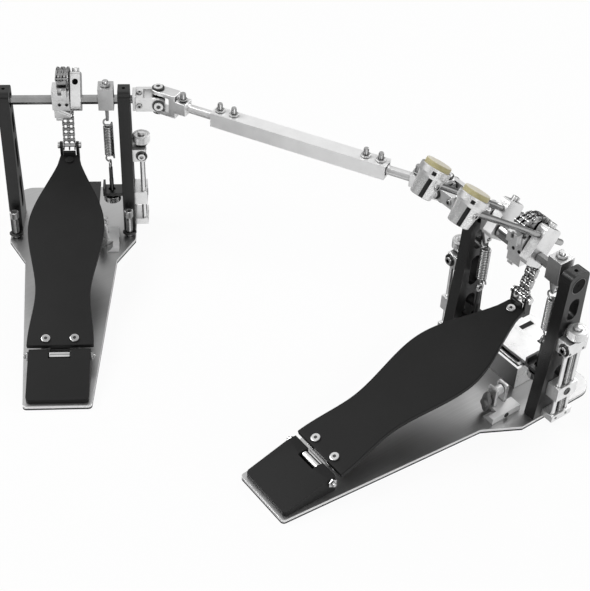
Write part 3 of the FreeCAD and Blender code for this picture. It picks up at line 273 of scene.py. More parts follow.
# %% Floor
FLOOR_SIZE, FLOOR_MIDDLE = 8, (-0.2, -0.1, -0.0004)
FLOOR_WHITE = 0.93
bpy.ops.object.select_all(action="DESELECT")
bpy.ops.mesh.primitive_plane_add(size=FLOOR_SIZE, location=FLOOR_MIDDLE)
floor = bpy.context.object
floor.name = "floor"
pale = Finish("pale_floor", Base_Color=grey(0.9), Roughness=0.9, Specular_IOR_Level=0)
seen = add_node(pale.tree, "ShaderNodeLightPath", output=0)
glow = add_node(pale.tree, "ShaderNodeEmission", Color=grey(1.0), Strength=1.0)
cover = pale.tree.nodes.new("ShaderNodeMixShader")
plug(pale.tree, cover.inputs[0], seen * FLOOR_WHITE)
pale.tree.links.new(pale.shader.outputs[0], cover.inputs[1])
pale.tree.links.new(glow.socket, cover.inputs[2])
pale.tree.links.new(cover.outputs[0], pale.tree.nodes["Material Output"].inputs[0])
floor.data.materials.append(pale.material)
floor.visible_glossy = False
print("floor:", floor.dimensions.x, "m across")

# %% World
TENT = ((0.0, 0.05), (0.14, 0.07), (0.3, 0.55), (0.62, 0.9), (0.85, 1.0), (1.0, 0.35))
FLAGS, FLAG_TONE, FLAG_DEPTH = 7.0, grey(0.07), 0.7
DARK_GROUND, WHITE = grey(0.24), grey(1.0)
QUIET = 0.42
world = bpy.data.worlds.new("studio")
bpy.context.scene.world = world
world.use_nodes = True
sky = world.node_tree
seen, glossy, through = (add_node(sky, "ShaderNodeLightPath", output=place) for place in (0, 3, 6))
way = add_node(sky, "ShaderNodeTexCoord", output=0)
sideways, forward, height = (add_node(sky, "ShaderNodeSeparateXYZ", output=place, Vector=way)
                             for place in (0, 1, 2))
tent = add_node(sky, "ShaderNodeValToRGB", {"stops": [(at, grey(tone)) for at, tone in TENT]}, Fac=height)
ground = mix_colour(sideways.smooth(-0.55, 0.4), DARK_GROUND, WHITE)
flags = (FLAGS * sideways.maths("ARCTAN2", forward)).maths("SINE").smooth(0.5, 0.85)
hung = mix_colour(flags * FLAG_DEPTH * height.smooth(0.75, 0.35), tent, FLAG_TONE)
studio = mix_colour(height.smooth(-0.1, -0.01), ground, hung)
plain = (seen + through).maths("MINIMUM", 1.0)
shown = mix_colour(plain, studio, WHITE)
strength = QUIET + (1 - QUIET) * (seen + glossy + through).maths("MINIMUM", 1.0)
background = sky.nodes["Background"]
plug(sky, background.inputs[0], shown)
plug(sky, background.inputs[1], strength)
bpy.context.scene.view_settings.view_transform = "Standard"
print("world: white to the camera, a studio to the metal")


# %% Lamps
def lamp(name, place, size, watts):
    data = bpy.data.lights.new(name, "AREA")
    data.shape = "RECTANGLE"
    data.size, data.size_y = size
    data.energy = watts
    made = bpy.data.objects.new(name, data)
    bpy.context.scene.collection.objects.link(made)
    made.location = place
    made.rotation_euler = (Vector(LIT_POINT) - Vector(place)).to_track_quat("-Z", "Y").to_euler()
    return made


LIT_POINT = (-0.25, -0.1, 0.1)
lamps = [
    lamp("key", (-1.3, -1.2, 1.7), (1.2, 0.9), 26),
    lamp("fill", (1.5, -0.6, 1.1), (0.9, 1.2), 9),
    lamp("back", (-0.2, 1.7, 1.4), (1.8, 0.7), 16),
]
print("lamps:", [made.name for made in lamps])

# %% [markdown]
# ## Finishes
# The pedals have few materials, and each has its own small detail. The footboards and posts are coated
# black with a fine orange-peel. The base plates are rolled steel, brushed along their length. Hubs and
# yokes are tumbled alloy with a faint grain, and chains, rods and screws are bright plated steel.
# The brushed grain must follow each pedal, so points left of a line use the slave pedal's direction.
# A few alloys are only partly metallic, as a matte, blasted surface scatters light like a pale coat.


# %% Black coatings
def coated(name, level, gloss, grain, shine=0.4):
    finish = Finish(name, Metallic=0.0, Specular_IOR_Level=shine)
    peel = finish.noise(grain, 3.0)
    cloud = finish.noise(18.0, 4.0)
    dust = finish.noise(620.0, 1.0).smooth(0.62, 0.8)
    tone = finish.tones(level * 0.85, level * 1.15, cloud)
    finish.set(Base_Color=mix_colour(dust * 0.25, tone, grey(level * 1.9)))
    finish.set(Roughness=gloss + 0.12 * (cloud - 0.5) + 0.08 * (peel - 0.5))
    return finish.bump(peel, 0.35, 0.0002)


board_coat = coated("board_coat", 0.0105, 0.52, 1500.0, 0.2)
post_coat = coated("post_coat", 0.012, 0.3, 900.0)
wing_coat = coated("wing_coat", 0.15, 0.34, 1100.0)
# A dark steel tone that paints the footboard's shadow on the front of the main clamp tower.
painted_shadow_steel = coated("painted_shadow_steel", 0.06, 0.25, 700.0, 0.3)
# A black deeper than a real coat and nearly without shine: a real black with painted shade added.
black_with_painted_shade = coated("black_with_painted_shade", 0.004, 0.6, 900.0, 0.08)
print("five coatings, the first of them", board_coat.material.name)

# %% Sole rubber
sole_rubber = Finish("sole_rubber", Metallic=0.0)
pores = sole_rubber.noise(900.0, 3.0)
sole_rubber.set(Base_Color=mix_colour(pores, grey(0.012), grey(0.03)), Roughness=0.75 + 0.15 * pores)
sole_rubber.bump(pores, 0.4, 0.0003)
print("sole rubber ready")

# %% Brushed base plates
STREAKS_ALONG, STREAKS_ACROSS = 9.0, 1900.0
SLAVE_SLANT, SLAVE_LINE = 0.35, -0.21


def pedal_grain(finish):
    """Long streaks along each pedal's own length."""
    x, y = (finish.node("ShaderNodeSeparateXYZ", output=place, Vector=finish.place) for place in (0, 1))
    is_slave = (x + SLAVE_SLANT * y).below(SLAVE_LINE)
    main_streaks, slave_streaks = (
        finish.noise(1.0, 3.0, finish.stretched(STREAKS_ACROSS, STREAKS_ALONG, STREAKS_ALONG, turn))
        for turn in (0.0, -SLAVE_YAW))
    return main_streaks + is_slave * (slave_streaks - main_streaks)


plate_steel = Finish("plate_steel", Metallic=1.0)
streaks = pedal_grain(plate_steel)
clouds = plate_steel.noise(14.0, 3.0)
tone = plate_steel.tones(0.48, 0.56, streaks)
plate_steel.set(Base_Color=mix_colour(clouds.smooth(0.45, 0.75) * 0.3, tone, grey(0.38)))
plate_steel.set(Roughness=0.3 + 0.08 * streaks + 0.05 * clouds)
plate_steel.bump(streaks, 0.05, 0.0001)
print("plate steel: streaks about", round(1000 / STREAKS_ACROSS, 2), "mm wide")


# %% Alloy and plated steel
def metal(name, low, high, rough, grain, depth, metallic=1.0):
    """Grey between low and high, with painted shade darkening the corners, and a fine grain of a depth."""
    finish = Finish(name, Metallic=metallic)
    fine = finish.noise(grain, 2.0)
    cloud = finish.noise(55.0, 3.0)
    tone = finish.tones(low, high, cloud)
    # Ambient occlusion darkens the base colour in corners and gaps between parts: this is painted shade.
    painted_shade_openness = finish.node("ShaderNodeAmbientOcclusion", {"samples": 6}, output=1, Distance=4 * MM)
    finish.set(Base_Color=mix_colour(painted_shade_openness.smooth(0.25, 0.85), grey(low * 0.12), tone))
    finish.set(Roughness=rough + 0.14 * (fine - 0.5) + 0.1 * (cloud - 0.5))
    return finish.bump(fine, depth, 0.00012)


silver_alloy = metal("silver_alloy", 0.74, 0.86, 0.3, 1700.0, 0.18, 0.8)
# The spring arms take a darker copy of the alloy; the extra darkness is painted shade.
arm_alloy_painted_shade = metal("arm_alloy_painted_shade", 0.5, 0.62, 0.3, 1500.0, 0.12)
head_alloy = metal("head_alloy", 0.76, 0.86, 0.26, 1400.0, 0.05, 0.6)
sleeve_alloy = metal("sleeve_alloy", 0.88, 0.94, 0.36, 1200.0, 0.1, 0.5)
bright_steel = metal("bright_steel", 0.62, 0.74, 0.16, 800.0, 0.06)
spring_steel = metal("spring_steel", 0.4, 0.5, 0.24, 900.0, 0.1)
shaft_steel = metal("shaft_steel", 0.34, 0.44, 0.2, 700.0, 0.08)
chain_steel = metal("chain_steel", 0.4, 0.52, 0.24, 800.0, 0.1)
spur_steel = metal("spur_steel", 0.3, 0.4, 0.3, 900.0, 0.12)
dark_steel = metal("dark_steel", 0.06, 0.1, 0.34, 900.0, 0.12)
plate_edge = metal("plate_edge", 0.84, 0.92, 0.5, 900.0, 0.1, 0.35)
print("metals ready")

# %% Felt
FELT_FOOT, FELT_HEIGHT, FELT_CROWN = 30.1, 9.0, 0.3
FACE_BLEND_FROM, FACE_BLEND_TO = 1.6, 0.5
felt = Finish("pressed_felt", Metallic=0.0, Roughness=0.95, Sheen_Weight=0.25, Sheen_Roughness=0.6)
fibres = felt.noise(1300.0, 5.0)
tufts = felt.noise(260.0, 3.0)
along_head = felt.node("ShaderNodeVectorMath", {"operation": "DOT_PRODUCT"}, output=1)
plug(felt.tree, along_head.socket.node.inputs[0], felt.place)
plug(felt.tree, along_head.socket.node.inputs[1], HEAD_WAY)
felt_top = SHAFT_Z * math.cos(BEATER_LEAN) + (FELT_FOOT + FELT_HEIGHT + FELT_CROWN) * MM
# The felt's colour goes from a darker tan on its side to a pale cream at its striking face.
towards_face = along_head.smooth(felt_top - FACE_BLEND_FROM * MM, felt_top - FACE_BLEND_TO * MM)
side = mix_colour(tufts, (0.43, 0.38, 0.18, 1), (0.6, 0.54, 0.29, 1))
face = mix_colour(tufts, (0.66, 0.61, 0.47, 1), (0.8, 0.76, 0.64, 1))
shade = mix_colour(towards_face, side, face)
felt.set(Base_Color=mix_colour(fibres.smooth(0.45, 0.8) * 0.4, shade, (0.86, 0.82, 0.7, 1)))
felt.bump(fibres + tufts, 0.6, 0.0006)
print("felt ready")

# %% [markdown]
# ## Dressing the CAD nodes
# Some solids already have the right shape, so they only take a finish. Assigning to the material
# slots leaves their meshes untouched. The nodes that a new piece will stand for are hidden later.

# %% Finishes on the CAD nodes
FINISH_BY_WORD = (("sole", sole_rubber), ("bearing", dark_steel), ("chain", chain_steel),
                  ("sprocket", chain_steel), ("shaft", shaft_steel), ("beater_rod", shaft_steel))
for name, node in frame["nodes"].items():
    chosen = next((finish for word, finish in FINISH_BY_WORD if word in name), bright_steel)
    node.data.materials.clear()
    node.data.materials.append(chosen.material)
print("finishes set on", len(frame["nodes"]), "nodes")

# %% [markdown]
# ## Tools for modelling
# Operators act on whatever is selected, so each piece starts from an empty selection. A finished piece
# keeps its place in its mesh, with its object at the origin, as the CAD nodes do. One helper starts a
# primitive, and another gives a finished piece its material and lets it ride on a body.


# %% Select and edit
def clear_selection():
    if bpy.context.object and bpy.context.object.mode != "OBJECT":
        bpy.ops.object.mode_set(mode="OBJECT")
    bpy.ops.object.select_all(action="DESELECT")


def activate(piece):
    clear_selection()
    piece.select_set(True)
    bpy.context.view_layer.objects.active = piece


def edit(piece):
    activate(piece)
    bpy.ops.object.mode_set(mode="EDIT")
    bpy.ops.mesh.select_all(action="SELECT")


def select_where(piece, element, test):
    """Goes into edit mode with just the vertices, edges or faces selected that pass the test."""
    bpy.ops.object.mode_set(mode="OBJECT")
    mesh = piece.data
    for group in (mesh.vertices, mesh.edges, mesh.polygons):
        group.foreach_set("select", [False] * len(group))
    for item in getattr(mesh, element):
        item.select = test(item)
    bpy.ops.object.mode_set(mode="EDIT")
    bpy.ops.mesh.select_mode(type={"vertices": "VERT", "edges": "EDGE", "polygons": "FACE"}[element])


print("selection tools ready")


# %% Start, shape and finish a piece
def start(kind, **settings):
    """Adds a primitive and puts its place into its mesh."""
    clear_selection()
    getattr(bpy.ops.mesh, "primitive_" + kind + "_add")(**settings)
    piece = bpy.context.object
    bpy.context.view_layer.update()
    piece.data.transform(piece.matrix_world)
    piece.matrix_world = Matrix.Identity(4)
    return piece


def modify(piece, kind, **settings):
    activate(piece)
    modifier = piece.modifiers.new(kind.lower(), kind)
    for name, value in settings.items():
        setattr(modifier, name, value)
    bpy.ops.object.modifier_apply(modifier=modifier.name)


def round_edges(piece, width, segments=2, sharp=50, **settings):
    """Bevels the edges that turn by more than an angle in degrees."""
    modify(piece, "BEVEL", width=width * MM, segments=segments, limit_method="ANGLE",
           angle_limit=math.radians(sharp), **settings)


def put_away(*models):
    for model in models:
        bpy.data.objects.remove(model)


def cut_away(piece, cutter, place=MAIN):
    cutter.data.transform(place)
    modify(piece, "BOOLEAN", operation="DIFFERENCE", object=cutter, solver="EXACT")
    put_away(cutter)


def copy_of(piece, place=MAIN):
    made = piece.copy()
    made.data = piece.data.copy()
    bpy.context.scene.collection.objects.link(made)
    made.data.transform(place)
    return made


def join(pieces):
    clear_selection()
    for piece in pieces:
        piece.select_set(True)
    bpy.context.view_layer.objects.active = pieces[0]
    bpy.ops.object.join()
    return bpy.context.object


def close_up(piece, gap=0.01):
    """Merges doubles and turns every face outwards."""
    edit(piece)
    bpy.ops.mesh.remove_doubles(threshold=gap * MM)
    bpy.ops.mesh.normals_make_consistent(inside=False)
    bpy.ops.object.mode_set(mode="OBJECT")


def done(piece, name, finish, body, stands_for=(), smooth=35, flat=False):
    """Names a piece and lets it ride; a finish of None keeps the materials that it has."""
    piece.name = name
    piece.data.name = name
    activate(piece)
    bpy.ops.object.shade_smooth_by_angle(angle=math.radians(smooth))
    if flat:
        modify(piece, "WEIGHTED_NORMAL", keep_sharp=True, weight=90)
    if finish:
        piece.data.materials.clear()
        piece.data.materials.append(finish.material)
    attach(piece, body)
    if stands_for:
        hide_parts(*stands_for)
    return piece


BLACK, SILVER, BRIGHT = "black_coat", "silver_alloy", "bright_steel"
RUBBER, PLATE, FELT, WING = "sole_rubber", "plate_steel", "felt", "dark_wing"
print("modelling tools ready")

# %% [markdown]
# ## Broken edges on the machined pieces
# No real machined edge is perfectly sharp, and a thin bevel is what catches the light on it. The CAD
# meshes are loose triangles, so a copy is merged, its flat triangles are dissolved into whole faces,
# and a Bevel modifier rounds only the edges that are sharper than a limit. The copy stands for the node.

# %% Bevelled copies of CAD nodes
MERGE_GAP, FLAT_ANGLE, SHARP = 0.002, math.radians(0.6), 40


def broken_edges(node_name, width, finish):
    source = frame["nodes"][node_name]
    body = source["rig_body"]
    made = copy_of(source)
    made.parent = None
    for key in list(made.keys()):
        del made[key]
    edit(made)
    bpy.ops.mesh.remove_doubles(threshold=MERGE_GAP * MM)
    bpy.ops.mesh.dissolve_limited(angle_limit=FLAT_ANGLE)
    bpy.ops.mesh.select_all(action="SELECT")
    bpy.ops.mesh.normals_make_consistent(inside=False)
    bpy.ops.object.mode_set(mode="OBJECT")
    round_edges(made, width, sharp=SHARP, miter_outer="MITER_ARC")
    modify(made, "TRIANGULATE")
    return done(made, node_name + "_dressed", finish, body, (node_name,), smooth=SHARP, flat=True)


BROKEN = (
    (1.2, post_coat, BLACK, ("posts", "bearing_caps")),
    (1.0, board_coat, BLACK, ("main_footboard", "slave_footboard")),
    (0.8, board_coat, BLACK, ("heel_plates",)),
    (0.6, plate_steel, PLATE, ("base_plates",)),
    (1.0, sleeve_alloy, SILVER, ("drive_sleeve",)),
    (0.8, silver_alloy, SILVER, ("drive_yokes",)),
    (0.9, silver_alloy, SILVER, ("slave_yoke", "left_yoke")),
    (0.6, silver_alloy, SILVER, ("main_cam_hub", "slave_cam_hub")),
    (0.7, silver_alloy, SILVER, ("main_beater_hub", "slave_beater_hub", "left_beater_hub")),
    (0.8, arm_alloy_painted_shade, SILVER, ("main_spring_arm", "slave_spring_arm")),
    (0.6, arm_alloy_painted_shade, SILVER, ("left_spring_arm",)),
    (0.7, silver_alloy, SILVER, ("tension_supports",)),
    (0.6, silver_alloy, SILVER, ("clamp_towers", "main_clamp_jaw")),
    (0.6, sleeve_alloy, SILVER, ("clamp_blocks",)),
    (0.7, silver_alloy, SILVER, ("main_tension_block", "slave_tension_block", "left_tension_block")),
    (0.3, bright_steel, BRIGHT, ("main_footboard_fittings", "slave_footboard_fittings")),
)
for width, finish, slot, node_names in BROKEN:
    for node_name in node_names:
        made = broken_edges(node_name, width, finish)
        print(made.name, len(made.data.polygons), "faces")

# %% [markdown]
# ## Springs
# Each pedal's return spring is a close coil of hard wire with a ring hook at both ends. A wire circle
# is set beside the axis and a Screw modifier winds it up into the coil. The hooks are then drawn out of
# the coil's open ends: a short spin bends the wire upright, an extrude takes it to the ring's height,
# and a long spin makes the ring.

# %% Spring sizes
WIRE, COIL, PITCH, RING, BEND = (size * MM for size in (0.98, 4.7, 2.15, 4.6, 1.5))
TURNS, TURN_STEPS, WIRE_SIDES = 18, 22, 10
COIL_LOW = 98.351 * MM
COIL_HIGH = COIL_LOW + TURNS * PITCH
RING_RISE = RING + 2.3 * MM
RING_TURN = math.radians(285)
SPRING_X, LEFT_SPRING_X = 46, -48.5
SPRINGS = (("main", SPRING_X, MAIN), ("left", LEFT_SPRING_X, MAIN), ("slave", SPRING_X, SLAVE))
print("coil from", round(COIL_LOW / MM, 1), "to", round(COIL_HIGH / MM, 1), "mm")


# %% One spring
def hook(spring, end, way):
    """Draws a ring hook out of the coil's end at height end; way is 1 upwards and -1 downwards."""
    ring_height = end + way * RING_RISE
    select_where(spring, "vertices", lambda v: abs(v.co.z - end) < WIRE * 1.02 and v.co.x > 0
                 and abs(v.co.y) < 0.2 * MM)
    bpy.ops.mesh.spin(steps=5, angle=math.pi / 2, center=(COIL, 0, end + way * BEND), axis=(1, 0, 0))
    bpy.ops.mesh.extrude_region_move(TRANSFORM_OT_translate={
        "value": (RING - COIL, -way * BEND, ring_height - end - way * BEND)})
    bpy.ops.mesh.spin(steps=TURN_STEPS, angle=RING_TURN, center=(0, 0, ring_height), axis=(0, -way, 0))
    bpy.ops.mesh.edge_face_add()
    bpy.ops.object.mode_set(mode="OBJECT")


spring = start("circle", vertices=WIRE_SIDES, radius=WIRE, location=(COIL, 0, COIL_LOW),
               rotation=(math.pi / 2, 0, 0))
modify(spring, "SCREW", axis="Z", angle=2 * math.pi, screw_offset=PITCH, iterations=TURNS,
       steps=TURN_STEPS, render_steps=TURN_STEPS, use_merge_vertices=False)
activate(spring)
hook(spring, COIL_HIGH, 1)
hook(spring, COIL_LOW, -1)
close_up(spring)
print("one spring:", len(spring.data.polygons), "faces")

# %% Three springs, each set between its rod and its arm
for who, x, pedal in SPRINGS:
    place = pedal @ shift(x)
    made = copy_of(spring, place)
    made.name = who + "_spring_wire"
    activate(made)
    bpy.ops.object.shade_smooth_by_angle(angle=math.radians(40))
    made.data.materials.append(spring_steel.material)
    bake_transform(made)
    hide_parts(who + "_spring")
    print(made.name, "at x", x, "mm")
put_away(spring)

# %% [markdown]
# ## Turned pieces: knurls, threads and sockets
# Thumb nuts and knobs have a knurl, a ring of small ridges that gives a grip. It starts as a cylinder
# with many sides, and every second upright edge is drawn in towards the axis. A thread is a small
# triangle wound up by a Screw modifier around a core. A socket screw is a bevelled cylinder from which
# a hexagonal prism is cut with a Boolean modifier. Each is modelled once, on the Z axis, and copied.

# %% Rods, knurls and threads
RIM_STEPS = ((0.7, 0.45), (1.1, 0), (0.3, -0.4))
THREAD_STEPS = 18
HAIR = 0.01


def rod(radius, low, high, sides=32, bevel=0.0):
    made = start("cylinder", vertices=sides, radius=radius * MM, depth=(high - low) * MM,
                 location=(0, 0, (low + high) / 2 * MM))
    if bevel:
        round_edges(made, bevel)
    return made


def knurled(radius, low, high, ridges, depth):
    made = rod(radius, low, high, 2 * ridges)
    activate(made)
    step = math.pi / ridges
    share = 1 - depth / radius
    select_where(made, "vertices",
                 lambda v: round((math.atan2(v.co.y, v.co.x) % (2 * math.pi)) / step) % 2 == 1)
    bpy.ops.transform.resize(value=(share, share, 1), center_override=(0, 0, 0))
    for end in (low, high):
        select_where(made, "polygons",
                     lambda f: abs(f.center.z - end * MM) < HAIR * MM and abs(f.normal.z) > 0.9)
        for inset, rise in RIM_STEPS:
            bpy.ops.mesh.inset(thickness=inset * MM, depth=rise * MM)
    bpy.ops.object.mode_set(mode="OBJECT")
    return made


def thread(radius, depth, pitch, low, high):
    made = start("circle", vertices=3, radius=depth * MM, location=(radius * MM, 0, low * MM),
                 rotation=(math.pi / 2, 0, 0))
    modify(made, "SCREW", axis="Z", angle=2 * math.pi, screw_offset=pitch * MM,
           iterations=max(1, int((high - low) / pitch)), steps=THREAD_STEPS, render_steps=THREAD_STEPS)
    edit(made)
    bpy.ops.mesh.select_mode(type="EDGE")
    bpy.ops.mesh.select_all(action="DESELECT")
    bpy.ops.mesh.select_non_manifold()
    bpy.ops.mesh.fill()
    bpy.ops.object.mode_set(mode="OBJECT")
    close_up(made)
    return made


print("rods, knurls and threads ready")


# %% Profiles, hexagons, sockets and boxes
def turned(profile, sides=40):
    """A piece of revolution: each (radius, height) of the profile is one extrusion of a round face."""
    radius, height = profile[0]
    made = start("circle", vertices=sides, radius=radius * MM, fill_type="NGON", location=(0, 0, height * MM))
    edit(made)
    for next_radius, next_height in profile[1:]:
        share = next_radius / radius
        rise = (next_height - height) * MM
        bpy.ops.mesh.extrude_region_move(TRANSFORM_OT_translate={"value": (0, 0, rise)})
        bpy.ops.transform.resize(value=(share, share, 1), center_override=(0, 0, 0))
        radius, height = next_radius, next_height
    bpy.ops.object.mode_set(mode="OBJECT")
    close_up(made)
    return made


def hexagon(flats, low, high, bevel=0.0):
    made = rod(flats / math.sqrt(3), low, high, 6)
    if bevel:
        round_edges(made, bevel, sharp=25)
    return made


def socket_screw(radius, height, flats, depth, bevel, finish):
    """A round head standing on zero, with a dark hexagonal socket in its top."""
    head = rod(radius, 0, height, 32, bevel)
    cut_away(head, hexagon(flats, height - depth, height + depth))
    head.data.materials.append(finish.material)
    head.data.materials.append(dark_steel.material)
    for face in head.data.polygons:
        near = math.hypot(face.center.x, face.center.y) < flats * 0.52 * MM
        sunk = height - depth - HAIR < face.center.z / MM < height - HAIR
        face.material_index = 1 if near and sunk else 0
    return head


def washer(outer, inner, low, high):
    made = rod(outer, low, high, 32, min(0.15, (high - low) / 4))
    cut_away(made, rod(inner, low - 1, high + 1))
    return made


def block(x, y, z):
    """A box between three pairs of limits."""
    made = start("cube", size=1)
    sizes = [(high - low) * MM for low, high in (x, y, z)]
    middle = [(high + low) / 2 for low, high in (x, y, z)]
    made.data.transform(shift(*middle) @ Matrix.Diagonal(sizes + [1]))
    return made


print("profiles, hexagons, sockets and boxes ready")

# %% [markdown]
# ## Spring rods, nuts and tension knobs
# Each spring hangs on an eyed rod whose round thumb nut seats in the bracket. The nut has a domed top,
# so the rod can swing, and a knurled rim. Outside the post stands the tension screw with its knob.

# %% Spring rods
EYE_Z, EYE, EYE_WIRE = 85.351, 4, 1.5
PIVOT_Z, DOME = 41.515, 6
NUT, NUT_DOWN, NUT_UP, NUT_RIDGES, NUT_GRIP = 9.7, 6, 1, 44, 0.5
SHANK, SHANK_LOW, SHANK_HIGH = 2.2, 30, EYE_Z - 4.2
for who, x, pedal in SPRINGS:
    place = pedal @ shift(x)
    eye = start("torus", major_radius=EYE * MM, minor_radius=EYE_WIRE * MM, major_segments=32,
                minor_segments=12, location=(0, 0, EYE_Z * MM), rotation=(0, math.pi / 2, 0))
    dome = start("uv_sphere", radius=DOME * MM, segments=28, ring_count=14, location=(0, 0, PIVOT_Z * MM))
    nut = knurled(NUT, PIVOT_Z - NUT_DOWN, PIVOT_Z + NUT_UP, NUT_RIDGES, NUT_GRIP)
    made = join([eye, dome, nut])
    made.data.transform(place)
    done(made, who + "_eye_and_nut", spring_steel, who + "_spring_rod", (who + "_spring_rod",))
    shank = join([rod(SHANK, SHANK_LOW, SHANK_HIGH, 24, 0.4), thread(SHANK, 0.3, 0.9, 31, 66)])
    shank.data.transform(place)
    done(shank, who + "_eyed_shank", dark_steel, who + "_spring_rod")
print("three eyed rods with thumb nuts")

# %% Tension knobs
POST_SIDES = (("main", 1, MAIN), ("left", -1, MAIN), ("slave", 1, SLAVE))
SCREW_X, SCREW, SCREW_FOOT = 82.8, 2.75, 16.3
COLLAR, COLLAR_LOW, COLLAR_HIGH = 7.0, 113.2, 116.6
KNOB, KNOB_LOW, KNOB_HIGH, KNOB_RIDGES, KNOB_GRIP = 9.8, 116.8, 125.7, 40, 0.45
for who, side, pedal in POST_SIDES:
    place = pedal @ shift(side * SCREW_X)
    body = who + "_tension_knob"
    knob = join([knurled(KNOB, KNOB_LOW, KNOB_HIGH, KNOB_RIDGES, KNOB_GRIP),
                 hexagon(8, KNOB_HIGH - 0.1, KNOB_HIGH + 3.5, 0.5)])
    ring = rod(COLLAR, COLLAR_LOW, COLLAR_HIGH, 36, 0.4)
    screw = join([rod(SCREW, SCREW_FOOT, COLLAR_LOW + 0.2, 24), thread(2.7, 0.3, 1.0, 17, 96)])
    for made in (knob, ring, screw):
        made.data.transform(place)
    done(knob, who + "_knob", silver_alloy, body, (body,))
    done(ring, who + "_knob_ring", dark_steel, body)
    done(screw, who + "_tension_screw", shaft_steel, body)
print("three knobs on their screws")

# %% [markdown]
# ## Beater heads and felt faces
# A head is a turned cup with a wide collar. Its profile is drawn as a list of radii and heights, and each
# step of the list is one extrusion. A slot runs up its side and a small window sits above the slot, both
# cut with a Boolean modifier. The striking face is a thick disc of pressed felt: a cylinder whose rim gets
# a soft bevel, whose top is raised a little at the middle, and which is rounded by a Subdivision Surface.
# A fine displacement makes it uneven, as felt is never dead flat.

# %% Heads
CUP = ((8.9, 4.0), (10.1, 4.2), (10.6, 4.8), (12.7, 24.0), (14.4, 26.6), (15.0, 27.4), (15.0, 33.2),
       (14.5, 33.8), (12.9, 33.8), (12.9, 30.2))
SLOT = ((8.2, 16), (-2.1, 2.1), (3, 23.5))
WINDOW = ((12.4, 17), (-2.1, 2.1), (27.6, 31.2))
# Black linings at the floor of the slot and the window are painted shade inside them.
SLOT_SHADE_LINING = ((8.0, 8.9), (-2.3, 2.3), (4.3, 23.7))
WINDOW_SHADE_LINING = ((12.2, 12.9), (-2.3, 2.3), (27.4, 31.4))
SLOT_TURN = Matrix.Rotation(math.radians(-50), 4, "Z")
HUB_X, LEFT_HUB_X = 13.2, -38.0
BEATERS = (("main", HUB_X), ("left", LEFT_HUB_X))
for who, x in BEATERS:
    cup = turned(CUP, 64)
    cut_away(cup, block(*SLOT), SLOT_TURN)
    cut_away(cup, block(*WINDOW), SLOT_TURN)
    cup.data.transform(head_place(x))
    done(cup, who + "_cup", head_alloy, who + "_beater", (who + "_beater_head",),
         smooth=30, flat=True)
    # The black lining in the slot and the window is painted shade, not a part of the head.
    slot_shade_lining = join([block(*SLOT_SHADE_LINING), block(*WINDOW_SHADE_LINING)])
    round_edges(slot_shade_lining, 0.1, 1)
    slot_shade_lining.data.transform(head_place(x) @ SLOT_TURN)
    done(slot_shade_lining, who + "_cup_slot_shade", sole_rubber, who + "_beater")
print("two turned heads with slot and window")

# %% Felt faces
FELT_RADIUS, FELT_ROUND = 12.8, 1.1
FELT_RISES = ((4.0, 0.12), (4.5, 0.08))
TOP_AREA = 60 * MM * MM
LUMP, LUMP_DEPTH = 1.6, 0.25


def felt_face():
    made = start("cylinder", vertices=48, radius=FELT_RADIUS * MM, depth=FELT_HEIGHT * MM,
                 location=(0, 0, (FELT_FOOT + FELT_HEIGHT / 2) * MM))
    round_edges(made, FELT_ROUND, 3)
    activate(made)
    for inset, rise in FELT_RISES:
        select_where(made, "polygons", lambda f: f.normal.z > 0.9 and f.area > TOP_AREA)
        bpy.ops.mesh.inset(thickness=inset * MM, depth=rise * MM)
    bpy.ops.object.mode_set(mode="OBJECT")
    modify(made, "SUBSURF", levels=2, render_levels=2)
    lumps = bpy.data.textures.new("felt_lumps", "CLOUDS")
    lumps.noise_scale = LUMP * MM
    modify(made, "DISPLACE", texture=lumps, strength=LUMP_DEPTH * MM, mid_level=0.6, texture_coords="LOCAL")
    return made


for who, x in BEATERS:
    made = felt_face()
    made.data.transform(head_place(x))
    done(made, who + "_felt", felt, who + "_beater", (who + "_beater_face",), smooth=60)
print("two felt faces")

# %% [markdown]
# ## Screws
# Socket screws hold nearly everything here. One head of each size is modelled, copied to every place and
# turned to its direction; the copies of one kind on one body become one piece. The joint screws sit on
# dark rings, and the small screws that close the caps and the cam hubs are sunk in their holes.


# %% Screw helpers
def aim(point, way):
    """A place in millimetres with its Z axis along a direction."""
    turn = Vector(way).to_track_quat("Z", "Y").to_matrix().to_4x4()
    return shift(*point) @ turn


def set_out(model, places, name, finish, body, stands_for=()):
    """Copies a model to its places and joins the copies into one piece."""
    made = join([copy_of(model, place) for place in places])
    print(name, "x", len(places))
    return done(made, name, finish, body, stands_for, smooth=30, flat=True)


UP, FRONT = (0, 0, 1), (0, -1, 0)

# %% Joint screws
CROSS_REACH, RING_REACH = 14.1, 15.0
CROSS_AXES = ((0, 1, 0), UP, FRONT, (0, 0, -1))
JOINTS = (("left", shift(MAIN_JOINT_X, 0, SHAFT_HEIGHT)),
          ("slave", SLAVE @ shift(SLAVE_JOINT_X, 0, SHAFT_HEIGHT)))
pivot_head = socket_screw(5.2, 2.9, 4.6, 0.28, 0.5, head_alloy)
pivot_ring = washer(6.9, 5.3, 0, 0.5)
for who, centre in JOINTS:
    heads, rings = ([centre @ aim([v * reach for v in axis], axis) for axis in CROSS_AXES]
                    for reach in (CROSS_REACH, RING_REACH))
    set_out(pivot_head, heads, who + "_joint_screws", None, who + "_cross")
    set_out(pivot_ring, rings, who + "_joint_rings", dark_steel, who + "_cross")
put_away(pivot_head, pivot_ring)

